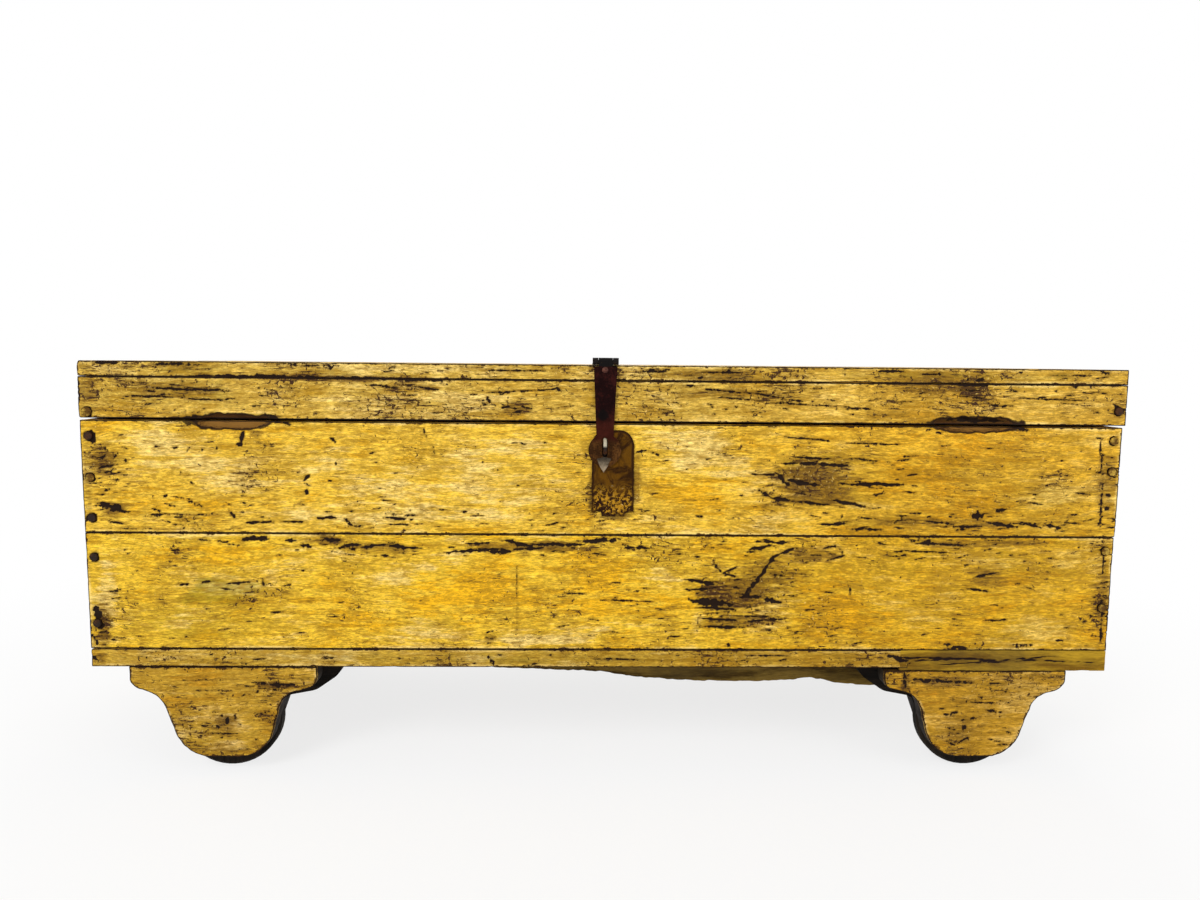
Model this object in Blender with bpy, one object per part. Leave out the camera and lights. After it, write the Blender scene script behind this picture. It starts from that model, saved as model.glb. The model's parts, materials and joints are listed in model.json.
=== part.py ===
"""Painted plank chest on four wooden wheels, with a hinged lid and an iron hasp.

Metres, +Z up. The wheels stand on z = 0, the length runs along X and the front faces -Y.
"""

import math

import bmesh
import bpy
from mathutils import Vector

# Running clearances and edges
TOUCH = 0.0003
ARRIS = 0.001

# Chest walls and floor
DEPTH = 0.580
WALL_THICKNESS = 0.024
UPPER_PLANK_HEIGHT = 0.1614
LOWER_PLANK_HEIGHT = 0.1709
FLOOR_THICKNESS = 0.027
FLOOR_SEAM = 0.001
LEFT_INSET = 0.0005
UPPER_RIGHT_INSET = 0.004
LOWER_RIGHT_INSET = 0.0055
REPAIR_LENGTH = 0.310
REPAIR_EXTRA = 0.004
SCARF_SLANT = 0.014

# Lid
LID_LENGTH = 1.500
LID_BOARD_THICKNESS = 0.022
LID_BOARD_SEAM = 0.001
LID_RAIL_HEIGHT = 0.0585
LID_RAIL_THICKNESS = 0.024
LID_GAP = 0.003
BATTEN_WIDTH = 0.060
BATTEN_THICKNESS = 0.020
BATTEN_INSET = 0.390

# Wheels and axles
WHEEL_RADIUS = 0.0775
WHEEL_WIDTH = 0.020
WHEEL_EDGE = 0.003
WHEEL_SIDES = 48
WHEEL_TOP_GAP = 0.010
WHEEL_SIDE_GAP = 0.003
WHEEL_SHOW = 0.026
HUB_RADIUS = 0.026
HUB_GAP = 0.0005
AXLE_RADIUS = 0.008
AXLE_SEAT = 0.014
AXLE_OUTWARD = 0.005

# Feet, each an outer and an inner cheek with a wheel between them
FOOT_LEFT_INSET = 0.189
FOOT_RIGHT_INSET = 0.1995
CHEEK_THICKNESS = 0.028
CHEEK_SETBACK = 0.002

# Corners of the cheeks' edges, from the top down: half width, how far they hang, rounding
OUTER_TOP = 0.137
OUTER_INWARD = ((0.137, 0.031, 0.019), (0.085, 0.044, 0.034))
OUTER_OUTWARD = ((0.137, 0.031, 0.019), (0.093, 0.045, 0.036))
OUTER_BOWL = (0.060, 0.052)
INNER_TOP = 0.1615
INNER_SIDE = ((0.156, 0.030, 0.030), (0.118, 0.0565, 0.030), (0.073, 0.065, 0.014))
INNER_BOWL = (0.046, 0.036)

# Rough bearer plank behind the front feet, and how far it hangs at shares of its length
BEARER_THICKNESS = 0.022
BEARER_OVERLAP = 0.061
BEARER_EDGE = (
    (0.0, 0.022),
    (0.339, 0.032),
    (0.498, 0.038),
    (0.562, 0.047),
    (0.640, 0.0525),
    (0.727, 0.054),
    (0.800, 0.0515),
    (0.834, 0.047),
    (0.875, 0.056),
    (0.931, 0.060),
    (1.0, 0.060),
)
BEARER_ROUND = 0.060

# Finger notches across the lid's seam: inset from the lid's end, length, height, rise above the seam
NOTCH_DEPTH = 0.012
LEFT_NOTCH = (0.215, 0.119, 0.0243, -0.0025)
RIGHT_NOTCH = (0.221, 0.133, 0.0230, 0.0014)

# Butt hinges on the back
HINGE_INSET = 0.300
HINGE_WIDTH = 0.060
HINGE_MIDDLE = 0.022
HINGE_LID_LEAF = 0.060
HINGE_CHEST_LEAF = 0.100
HINGE_LEAF_THICKNESS = 0.0028
HINGE_PIN_RADIUS = 0.0025
KNUCKLE_GAP = 0.0005
KNUCKLE_SKIN = 0.0004
KNUCKLE_SHOULDER = 0.0008
BARREL_SIDES = 24

# Hasp, its staple and the plate behind them
HASP_X = -0.0055
HASP_BARREL_WIDTH = 0.037
HASP_MIDDLE = 0.020
HASP_LEAF_LENGTH = 0.055
HASP_PIN_RADIUS = 0.002
STRAP_THICKNESS = 0.0024
STRAP_CLEARANCE = 0.0003
STRAP_SHOULDER = 0.0025
STRAP_TOP_WIDTH = 0.0335
STRAP_NECK_WIDTH = 0.0245
DISC_RADIUS = 0.0236
DISC_BELOW_SLOT = 0.0043
TIP_LENGTH = 0.009
TIP_BASE_ANGLE = 30
TIP_WAIST_WIDTH = 0.008
TIP_WAIST_SHARE = 0.25
STAPLE_BELOW_RIM = 0.0319
STAPLE_HEIGHT = 0.024
STAPLE_REACH = 0.022
STAPLE_WIRE_RADIUS = 0.0025
STAPLE_TOP_CLEARANCE = 0.001
STAPLE_SIDE_CLEARANCE = 0.0015
SWING_CLEARANCE = 0.004
PLATE_WIDTH = 0.062
PLATE_HEIGHT = 0.126
PLATE_THICKNESS = 0.002
PLATE_SHIFT = 0.012
PLATE_ABOVE_STAPLE = 0.0235
PLATE_ROUND = 0.022

# Corner nails, at shares of the plank's height below its top edge
NAIL_INSET = 0.0115
NAIL_LENGTH = 0.055
NAIL_SHANK_RADIUS = 0.0022
NAIL_HEAD_RADIUS = 0.0058
NAIL_HEAD_HEIGHT = 0.0022
NAIL_HEAD_TAPER = 0.92
NAIL_SIDES = 12
LEFT_UPPER_NAILS = (0.14, 0.51, 0.87)
LEFT_LOWER_NAILS = (0.21, 0.78)
RIGHT_UPPER_NAILS = (0.12, 0.40)
RIGHT_LOWER_NAILS = (0.12, 0.62)
LID_SCREW_RISE = 0.0085
LID_NAIL_RISE = 0.021
SCREW_HEAD_RADIUS = 0.0065
SCREW_SLOT_WIDTH = 0.0012

# Heights, from the floor up
axle_z = WHEEL_RADIUS * math.cos(math.pi / WHEEL_SIDES)
underside_z = axle_z + WHEEL_RADIUS + WHEEL_TOP_GAP
floor_top_z = underside_z + FLOOR_THICKNESS
lower_z = floor_top_z + TOUCH
seam_z = lower_z + LOWER_PLANK_HEIGHT
upper_z = seam_z + TOUCH
rim_z = upper_z + UPPER_PLANK_HEIGHT
rail_z = rim_z + LID_GAP
rail_top_z = rail_z + LID_RAIL_HEIGHT
lid_board_z = rail_top_z + TOUCH
lid_top_z = lid_board_z + LID_BOARD_THICKNESS
hinge_z = (rim_z + rail_z) / 2

# Hinge barrels
hinge_bore = HINGE_PIN_RADIUS + TOUCH
hinge_barrel = hinge_bore + HINGE_LEAF_THICKNESS + KNUCKLE_SKIN
hasp_bore = HASP_PIN_RADIUS + TOUCH
hasp_barrel = hasp_bore + STRAP_THICKNESS + KNUCKLE_SKIN

# Front and back faces, placed so that the staple and the hinges reach equally far from the middle
hinge_reach = TOUCH + 2 * hinge_barrel
front_y = STAPLE_REACH - (STAPLE_REACH + DEPTH + hinge_reach) / 2
back_y = front_y + DEPTH
hinge_y = back_y + TOUCH + hinge_barrel
plate_y = front_y - TOUCH
strap_back_y = plate_y - PLATE_THICKNESS - STRAP_CLEARANCE
hasp_y = strap_back_y + hasp_barrel - STRAP_THICKNESS
hasp_z = lid_top_z + TOUCH + hasp_barrel

# Ends
lid_left_x = -LID_LENGTH / 2
lid_right_x = LID_LENGTH / 2
chest_left_x = lid_left_x + LEFT_INSET
upper_right_x = lid_right_x - UPPER_RIGHT_INSET
lower_right_x = lid_right_x - LOWER_RIGHT_INSET
foot_x = {"left": lid_left_x + FOOT_LEFT_INSET, "right": lid_right_x - FOOT_RIGHT_INSET}

# Directions of a slab's outline and thickness
FACING_FRONT = ((1, 0, 0), (0, 0, 1), (0, 1, 0))
HANGING_FRONT = ((1, 0, 0), (0, 0, -1), (0, -1, 0))
HANGING_BACK = ((1, 0, 0), (0, 0, -1), (0, 1, 0))
STANDING_BACK = ((1, 0, 0), (0, 0, 1), (0, 1, 0))
LYING_ON_TOP = ((1, 0, 0), (0, 1, 0), (0, 0, 1))


def clear_scene():
    for thing in list(bpy.data.objects):
        bpy.data.objects.remove(thing)


def finish(name, colour, roughness, metallic=0.0):
    """A plain Principled material."""
    made = bpy.data.materials.new(name)
    made.use_nodes = True
    shader = made.node_tree.nodes["Principled BSDF"]
    shader.inputs["Base Color"].default_value = (*colour, 1.0)
    shader.inputs["Roughness"].default_value = roughness
    shader.inputs["Metallic"].default_value = metallic
    return made


def make_mesh(name, bm):
    """Turns a bmesh into a mesh whose faces point outward."""
    bmesh.ops.recalc_face_normals(bm, faces=bm.faces)
    mesh = bpy.data.meshes.new(name)
    bm.to_mesh(mesh)
    bm.free()
    return mesh


def place(name, mesh, location, coat=None):
    thing = bpy.data.objects.new(name, mesh)
    bpy.context.scene.collection.objects.link(thing)
    thing.location = location
    if coat:
        mesh.materials.append(coat)
    return thing


def guide(thing):
    """Marks a cutter, or a shape that another piece takes in."""
    thing.hide_render = True
    thing.display_type = "WIRE"
    return thing


def combine(thing, other, operation):
    step = thing.modifiers.new(operation.title(), "BOOLEAN")
    step.operation = operation
    step.solver = "EXACT"
    step.object = guide(other)


def soften(thing, width=ARRIS):
    """Takes the sharp edges off."""
    edge = thing.modifiers.new("Worn edges", "BEVEL")
    edge.width = width
    edge.segments = 1
    edge.limit_method = "ANGLE"
    edge.angle_limit = math.radians(40)


def block(name, low, high, coat=None):
    low, high = Vector(low), Vector(high)
    bm = bmesh.new()
    bmesh.ops.create_cube(bm, size=1.0)
    bmesh.ops.scale(bm, vec=high - low, verts=bm.verts)
    return place(name, make_mesh(name, bm), (low + high) / 2, coat)


def board(name, low, high, coat):
    thing = block(name, low, high, coat)
    soften(thing)
    return thing


def slab(name, outline, thickness, directions, location, coat=None, start=0.0):
    """Extrudes an outline of (across, along) points from start. directions: across, along and thickness."""
    across, along, through = (Vector(direction) for direction in directions)
    bm = bmesh.new()
    near = [bm.verts.new(u * across + w * along + start * through) for u, w in outline]
    far = [bm.verts.new(u * across + w * along + (start + thickness) * through) for u, w in outline]
    bm.faces.new(near)
    bm.faces.new(list(reversed(far)))
    for i in range(len(near)):
        j = (i + 1) % len(near)
        bm.faces.new((near[i], far[i], far[j], near[j]))
    return place(name, make_mesh(name, bm), location, coat)


def turned(name, profile, axis, location, coat=None, sides=BARREL_SIDES, ring=False):
    """Turns (radius, along) points about X or Y, a flat facing down. A ring's profile is a closed loop."""
    bm = bmesh.new()
    rows = []
    for radius, along in profile:
        row = []
        for k in range(sides):
            angle = 2 * math.pi * (k + 0.5) / sides
            a, b = radius * math.cos(angle), radius * math.sin(angle)
            row.append(bm.verts.new((along, a, b) if axis == "X" else (a, along, b)))
        rows.append(row)
    spans = list(zip(rows, rows[1:]))
    if ring:
        spans.append((rows[-1], rows[0]))
    else:
        bm.faces.new(rows[0])
        bm.faces.new(rows[-1])
    for first, second in spans:
        for k in range(sides):
            n = (k + 1) % sides
            bm.faces.new((first[k], first[n], second[n], second[k]))
    mesh = make_mesh(name, bm)
    mesh.shade_smooth()
    mesh.set_sharp_from_angle(angle=math.radians(35))
    return place(name, mesh, location, coat)


def rod(name, radius, start, end, axis, location, coat=None, sides=BARREL_SIDES):
    return turned(name, [(radius, start), (radius, end)], axis, location, coat, sides)


def knuckle(name, outer, bore, start, end, location):
    profile = [(bore, start), (outer, start), (outer, end), (bore, end)]
    return turned(name, profile, "X", location, ring=True)


def arc(centre, radius, start, end, steps):
    """Points on an arc, from one angle to another in degrees, counted from across towards along."""
    angles = [math.radians(start + (end - start) * k / steps) for k in range(steps + 1)]
    return [(centre[0] + radius * math.cos(a), centre[1] + radius * math.sin(a)) for a in angles]


def rounded(corners, steps=6):
    """An outline from (across, along, radius) corners, each rounded as far as its edges have room."""
    outline = []
    for i, (u, w, radius) in enumerate(corners):
        if not radius:
            outline.append((u, w))
            continue
        here = Vector((u, w))
        before = Vector(corners[i - 1][:2]) - here
        after = Vector(corners[(i + 1) % len(corners)][:2]) - here
        half = before.angle(after) / 2
        reach = min(radius / math.tan(half), 0.49 * before.length, 0.49 * after.length)
        fitted = reach * math.tan(half)
        middle = here + (before.normalized() + after.normalized()).normalized() * fitted / math.sin(half)
        first = here + before.normalized() * reach - middle
        last = here + after.normalized() * reach - middle
        start = math.degrees(math.atan2(first.y, first.x))
        turn = (math.degrees(math.atan2(last.y, last.x)) - start + 180) % 360 - 180
        outline += arc(middle, fitted, start, start + turn, steps)
    return outline


def carry(empty_name, location, pieces):
    """Hangs the pieces on an empty at their joint's axis."""
    axis = bpy.data.objects.new(empty_name, None)
    bpy.context.scene.collection.objects.link(axis)
    axis.location = location
    bpy.context.view_layer.update()
    for piece in pieces:
        piece.parent = axis
        piece.matrix_parent_inverse = axis.matrix_world.inverted()
    return axis


def make_walls(paint):
    """Front and back planks lap over the end boards, two boards high all round."""
    walls = {}
    levels = (
        ("lower", lower_z, seam_z, lower_right_x),
        ("upper", upper_z, rim_z, upper_right_x),
    )
    for level, low, high, right in levels:
        for side, near, far in (
            ("front", front_y, front_y + WALL_THICKNESS),
            ("back", back_y - WALL_THICKNESS, back_y),
        ):
            name = f"{side}_plank_{level}"
            walls[name] = board(name, (chest_left_x, near, low), (right, far, high), paint)
        near = front_y + WALL_THICKNESS + TOUCH
        far = back_y - WALL_THICKNESS - TOUCH
        for side, start, end in (
            ("left", chest_left_x, chest_left_x + WALL_THICKNESS),
            ("right", right - WALL_THICKNESS, right),
        ):
            name = f"{side}_end_{level}"
            walls[name] = board(name, (start, near, low), (end, far, high), paint)
    return walls


def make_floor(paint, bare):
    """Three board widths under the walls. The front one has a deeper piece let in at its right end."""
    width = (DEPTH - 2 * FLOOR_SEAM) / 3
    middle_y = front_y + width + FLOOR_SEAM
    far_y = middle_y + width + FLOOR_SEAM
    for name, near in (("floor_board_middle", middle_y), ("floor_board_back", far_y)):
        board(name, (chest_left_x, near, underside_z), (lower_right_x, near + width, floor_top_z), paint)
    scarf = lower_right_x - REPAIR_LENGTH
    left = [
        (chest_left_x, 0),
        (scarf + SCARF_SLANT, 0),
        (scarf, FLOOR_THICKNESS),
        (chest_left_x, FLOOR_THICKNESS),
    ]
    slant_share = REPAIR_EXTRA / FLOOR_THICKNESS
    right = [
        (scarf + SCARF_SLANT * (1 + slant_share) + TOUCH, -REPAIR_EXTRA),
        (lower_right_x, -REPAIR_EXTRA),
        (lower_right_x, FLOOR_THICKNESS),
        (scarf + TOUCH * 2, FLOOR_THICKNESS),
    ]
    for name, outline, coat in (
        ("floor_board_front", left, paint),
        ("floor_board_front_repair", right, bare),
    ):
        piece = slab(name, outline, width, FACING_FRONT, (0, front_y, underside_z), coat)
        soften(piece)


def cheek_outline(top, right, left, bowl, start, drop):
    """Hangs from start to drop: a shoulder and a waisted neck on each side, and a round bowl below."""
    half_bowl, bowl_round = bowl
    corners = [(-top, start, 0), (top, start, 0), *right]
    corners += [(half_bowl, drop, bowl_round), (-half_bowl, drop, bowl_round)]
    corners += [(-u, w, r) for u, w, r in reversed(left)]
    return rounded(corners)


def make_feet(paint, dark, iron):
    """At each corner a painted outer cheek, a dark inner cheek, and an axle that carries the wheel."""
    drop = underside_z - axle_z + WHEEL_RADIUS - WHEEL_SHOW
    outer_at = CHEEK_SETBACK
    wheel_at = outer_at + CHEEK_THICKNESS + WHEEL_SIDE_GAP
    inner_at = wheel_at + WHEEL_WIDTH + WHEEL_SIDE_GAP
    hub_reach = WHEEL_SIDE_GAP - HUB_GAP
    for side, right_side, left_side, axle_x in (
        ("left", OUTER_INWARD, OUTER_OUTWARD, foot_x["left"] - AXLE_OUTWARD),
        ("right", OUTER_OUTWARD, OUTER_INWARD, foot_x["right"] + AXLE_OUTWARD),
    ):
        x = foot_x[side]
        for end, face, inward in (("front", front_y, 1), ("back", back_y, -1)):
            corner = f"{end}_{side}"
            start = TOUCH
            if corner == "front_right":
                start += REPAIR_EXTRA
            outer = cheek_outline(OUTER_TOP, right_side, left_side, OUTER_BOWL, start, drop)
            inner = cheek_outline(INNER_TOP, INNER_SIDE, INNER_SIDE, INNER_BOWL, start, drop)
            hanging = ((1, 0, 0), (0, 0, -1), (0, inward, 0))
            cheek = slab(
                f"cheek_outer_{corner}", outer, CHEEK_THICKNESS, hanging,
                (x, face + inward * outer_at, underside_z), paint,
            )
            soften(cheek)
            partner = slab(
                f"cheek_inner_{corner}", inner, CHEEK_THICKNESS, hanging,
                (x, face + inward * inner_at, underside_z), dark,
            )
            seat = outer_at + CHEEK_THICKNESS - AXLE_SEAT
            tail = inner_at + CHEEK_THICKNESS
            middle = (axle_x, face, axle_z)
            rod(f"axle_{corner}", AXLE_RADIUS, inward * seat, inward * tail, "Y", middle, iron)
            hole = rod(
                f"axle_hole_{corner}", AXLE_RADIUS + TOUCH, inward * (seat - TOUCH),
                inward * (tail + TOUCH), "Y", middle,
            )
            combine(cheek, hole, "DIFFERENCE")
            combine(partner, hole, "DIFFERENCE")
            wheel_y = face + inward * (wheel_at + WHEEL_WIDTH / 2)
            make_wheel(f"wheel_{corner}", (axle_x, wheel_y, axle_z), hub_reach, dark)
    make_bearer(inner_at + CHEEK_THICKNESS + TOUCH, dark)


def make_wheel(name, location, hub_reach, coat):
    """A wooden disc whose hub stands proud on both sides. Its origin is on its axle."""
    half = WHEEL_WIDTH / 2
    bore = AXLE_RADIUS + TOUCH
    one_side = [
        (bore, half + hub_reach),
        (HUB_RADIUS, half + hub_reach),
        (HUB_RADIUS + hub_reach, half),
        (WHEEL_RADIUS - WHEEL_EDGE, half),
        (WHEEL_RADIUS, half - WHEEL_EDGE),
    ]
    other_side = [(radius, -along) for radius, along in reversed(one_side)]
    turned(name, one_side + other_side, "Y", location, coat, WHEEL_SIDES, ring=True)


def make_bearer(depth, coat):
    """A rough plank on edge that laps behind both front feet, with a waney lower edge."""
    start = foot_x["left"] + BEARER_OVERLAP
    length = foot_x["right"] - BEARER_OVERLAP - start
    lower = [(share * length, drop, BEARER_ROUND) for share, drop in reversed(BEARER_EDGE)]
    lower[0] = (*lower[0][:2], 0)
    lower[-1] = (*lower[-1][:2], 0)
    top = TOUCH + REPAIR_EXTRA
    outline = rounded([(0, top, 0), (length, top, 0), *lower], steps=2)
    place_at = (start, front_y + depth, underside_z)
    slab("bearer_plank", outline, BEARER_THICKNESS, HANGING_BACK, place_at, coat)


def make_lid(paint):
    """Top boards on a frame of rails, with two battens inside. Returns every piece and the front rail."""
    pieces = []
    width = (DEPTH - 2 * LID_BOARD_SEAM) / 3
    for i, place_name in enumerate(("front", "middle", "back")):
        near = front_y + i * (width + LID_BOARD_SEAM)
        low = (lid_left_x, near, lid_board_z)
        pieces.append(board(f"lid_board_{place_name}", low, (lid_right_x, near + width, lid_top_z), paint))
    inside_near = front_y + LID_RAIL_THICKNESS
    inside_far = back_y - LID_RAIL_THICKNESS
    front_rail = board(
        "lid_rail_front", (lid_left_x, front_y, rail_z), (lid_right_x, inside_near, rail_top_z), paint,
    )
    pieces += [
        front_rail,
        board("lid_rail_back", (lid_left_x, inside_far, rail_z), (lid_right_x, back_y, rail_top_z), paint),
    ]
    for side, start in (("left", lid_left_x), ("right", lid_right_x - LID_RAIL_THICKNESS)):
        low = (start, inside_near + TOUCH, rail_z)
        high = (start + LID_RAIL_THICKNESS, inside_far - TOUCH, rail_top_z)
        pieces.append(board(f"lid_rail_{side}", low, high, paint))
    for side, middle in (("left", lid_left_x + BATTEN_INSET), ("right", lid_right_x - BATTEN_INSET)):
        low = (middle - BATTEN_WIDTH / 2, inside_near + TOUCH, rail_top_z - BATTEN_THICKNESS)
        high = (middle + BATTEN_WIDTH / 2, inside_far - TOUCH, rail_top_z)
        pieces.append(board(f"lid_batten_{side}", low, high, paint))
    return pieces, front_rail


def cut_notches(plank, rail):
    """Hollows a finger notch across the seam near each end."""
    notches = (("left", lid_left_x, 1, LEFT_NOTCH), ("right", lid_right_x, -1, RIGHT_NOTCH))
    for side, end, inward, (inset, length, height, rise) in notches:
        bm = bmesh.new()
        bmesh.ops.create_uvsphere(bm, u_segments=24, v_segments=12, radius=1.0)
        bmesh.ops.scale(bm, vec=(length / 2, NOTCH_DEPTH, height / 2), verts=bm.verts)
        name = f"finger_notch_{side}"
        scoop = place(name, make_mesh(name, bm), (end + inward * inset, front_y, hinge_z + rise))
        combine(plank, scoop, "DIFFERENCE")
        combine(rail, scoop, "DIFFERENCE")


def leaf_outline(width, length, barrel, tongues):
    """A hinge leaf that starts beyond its barrel, with a tongue to each of its knuckles."""
    start = barrel + KNUCKLE_SHOULDER
    outline = [(-width / 2, start)]
    for low, high in tongues:
        outline += [(low, start), (low, 0), (high, 0), (high, start)]
    outline += [(width / 2, start), (width / 2, length), (-width / 2, length)]
    tidy = []
    for point in outline:
        if not tidy or (Vector(point) - Vector(tidy[-1])).length > TOUCH:
            tidy.append(point)
    return tidy


def barrel_spans(width, middle):
    """Where the middle knuckle and the two outer ones lie along a barrel."""
    centre = (-middle / 2, middle / 2)
    start = middle / 2 + KNUCKLE_GAP
    return centre, [(-width / 2, -start), (start, width / 2)]


def add_knuckles(leaf, name, spans, outer, bore, location):
    for i, (start, end) in enumerate(spans):
        combine(leaf, knuckle(f"{name}_knuckle_{i}", outer, bore, start, end, location), "UNION")


def make_hinges(iron):
    """Two butt hinges: a leaf on the chest, a leaf on the lid and the pin between them."""
    lid_leaves = []
    centre, outside = barrel_spans(HINGE_WIDTH, HINGE_MIDDLE)
    leaf_y = back_y + TOUCH
    for side, x in (("left", lid_left_x + HINGE_INSET), ("right", lid_right_x - HINGE_INSET)):
        at = (x, leaf_y, hinge_z)
        pin_at = (x, hinge_y, hinge_z)
        chest_leaf = slab(
            f"hinge_chest_leaf_{side}",
            leaf_outline(HINGE_WIDTH, HINGE_CHEST_LEAF, hinge_barrel, outside),
            HINGE_LEAF_THICKNESS, HANGING_BACK, at, iron,
        )
        add_knuckles(chest_leaf, f"chest_{side}", outside, hinge_barrel, hinge_bore, pin_at)
        lid_leaf = slab(
            f"hinge_lid_leaf_{side}",
            leaf_outline(HINGE_WIDTH, HINGE_LID_LEAF, hinge_barrel, [centre]),
            HINGE_LEAF_THICKNESS, STANDING_BACK, at, iron,
        )
        add_knuckles(lid_leaf, f"lid_{side}", [centre], hinge_barrel, hinge_bore, pin_at)
        lid_leaves.append(lid_leaf)
        rod(f"hinge_pin_{side}", HINGE_PIN_RADIUS, -HINGE_WIDTH / 2, HINGE_WIDTH / 2, "X", pin_at, iron)
    return lid_leaves


def strap_outline(slot_centre):
    """The hasp's strap, from its knuckle down to the disc and the pointed tip."""
    neck = STRAP_NECK_WIDTH / 2
    top = STRAP_TOP_WIDTH / 2
    shoulder = hasp_barrel + STRAP_SHOULDER
    disc = slot_centre + DISC_BELOW_SLOT
    join_angle = -math.degrees(math.acos(neck / DISC_RADIUS))
    base_angle = 90 - TIP_BASE_ANGLE
    tip = disc + DISC_RADIUS + TIP_LENGTH
    right = [(HASP_MIDDLE / 2, 0), (HASP_MIDDLE / 2, shoulder), (top, shoulder)]
    right += arc((0, disc), DISC_RADIUS, join_angle, base_angle, 14)
    right += [(TIP_WAIST_WIDTH / 2, disc + DISC_RADIUS + TIP_LENGTH * TIP_WAIST_SHARE)]
    left = [(-u, w) for u, w in reversed(right)]
    return right + [(0, tip)] + left


def slot_outline(width, length):
    """A slot with round ends, centred on its own middle."""
    radius = width / 2
    straight = length / 2 - radius
    return arc((0, straight), radius, 0, 180, 8) + arc((0, -straight), radius, 180, 360, 8)


def make_hasp(iron):
    """Leaf and pin on the lid, and the strap over the staple. Returns the lid's pieces and the strap."""
    centre, outside = barrel_spans(HASP_BARREL_WIDTH, HASP_MIDDLE)
    pin_at = (HASP_X, hasp_y, hasp_z)
    leaf = slab(
        "hasp_leaf", leaf_outline(HASP_BARREL_WIDTH, HASP_LEAF_LENGTH, hasp_barrel, outside),
        STRAP_THICKNESS, LYING_ON_TOP, (HASP_X, hasp_y, lid_top_z + TOUCH), iron,
    )
    add_knuckles(leaf, "hasp_leaf", outside, hasp_barrel, hasp_bore, pin_at)
    half_barrel = HASP_BARREL_WIDTH / 2
    pin = rod("hasp_pin", HASP_PIN_RADIUS, -half_barrel, half_barrel, "X", pin_at, iron)
    slot_length = STAPLE_HEIGHT + STAPLE_TOP_CLEARANCE + SWING_CLEARANCE
    slot_width = 2 * (STAPLE_WIRE_RADIUS + STAPLE_SIDE_CLEARANCE)
    staple_z = rim_z - STAPLE_BELOW_RIM
    slot_z = staple_z + STAPLE_HEIGHT / 2 + STAPLE_TOP_CLEARANCE - slot_length / 2
    strap = slab(
        "hasp_strap", strap_outline(hasp_z - slot_z), STRAP_THICKNESS, HANGING_FRONT, pin_at, iron,
        start=hasp_barrel - STRAP_THICKNESS,
    )
    add_knuckles(strap, "strap", [centre], hasp_barrel, hasp_bore, pin_at)
    slot = slab(
        "hasp_slot", slot_outline(slot_width, slot_length), STRAP_THICKNESS + 2 * TOUCH, HANGING_FRONT,
        (HASP_X, strap_back_y + TOUCH, slot_z),
    )
    combine(strap, slot, "DIFFERENCE")
    return [leaf, pin], strap


def make_staple(plank, iron):
    """An iron loop driven through its plate and the upper plank, for a padlock."""
    staple_z = rim_z - STAPLE_BELOW_RIM
    bend = STAPLE_HEIGHT / 2 - STAPLE_WIRE_RADIUS
    leg_y = front_y + WALL_THICKNESS
    bend_y = front_y - STAPLE_REACH + STAPLE_WIRE_RADIUS + bend
    route = [(leg_y, bend)]
    route += [(bend_y + along, up) for along, up in arc((0, 0), bend, 90, 270, 12)]
    route.append((leg_y, -bend))
    path = bpy.data.curves.new("staple", "CURVE")
    path.dimensions = "3D"
    path.bevel_depth = STAPLE_WIRE_RADIUS
    path.bevel_resolution = 2
    path.use_fill_caps = True
    line = path.splines.new("POLY")
    line.points.add(len(route) - 1)
    for point, (along, up) in zip(line.points, route):
        point.co = (0, along, up, 1)
    place("staple", path, (HASP_X, 0, staple_z), iron)

    top = staple_z + PLATE_ABOVE_STAPLE
    half = PLATE_WIDTH / 2
    corners = [(-half, 0, PLATE_ROUND), (half, 0, PLATE_ROUND)]
    corners += [(half, PLATE_HEIGHT, 0), (-half, PLATE_HEIGHT, 0)]
    plate = slab(
        "staple_plate", rounded(corners), PLATE_THICKNESS, HANGING_FRONT,
        (HASP_X + PLATE_SHIFT, plate_y, top), iron,
    )
    for name, up in (("upper", bend), ("lower", -bend)):
        leg_hole = rod(
            f"staple_hole_{name}", STAPLE_WIRE_RADIUS + TOUCH, front_y - 2 * PLATE_THICKNESS,
            leg_y + TOUCH, "Y", (HASP_X, 0, staple_z + up),
        )
        combine(plate, leg_hole, "DIFFERENCE")
        combine(plank, leg_hole, "DIFFERENCE")


def drive_nail(name, x, z, into, iron, head_radius=NAIL_HEAD_RADIUS):
    """A nail from the front through the pieces in into, each of which gets its hole."""
    rim = head_radius * NAIL_HEAD_TAPER
    profile = [
        (NAIL_SHANK_RADIUS, NAIL_LENGTH),
        (NAIL_SHANK_RADIUS, -TOUCH),
        (head_radius, -TOUCH),
        (head_radius, -TOUCH - NAIL_HEAD_HEIGHT / 2),
        (rim, -TOUCH - NAIL_HEAD_HEIGHT),
    ]
    nail = turned(name, profile, "Y", (x, front_y, z), iron, NAIL_SIDES)
    hole = rod(
        f"{name}_hole", NAIL_SHANK_RADIUS + TOUCH, -2 * TOUCH, NAIL_LENGTH + TOUCH, "Y",
        (x, front_y, z), sides=NAIL_SIDES,
    )
    for piece in into:
        combine(piece, hole, "DIFFERENCE")
    return nail


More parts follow.
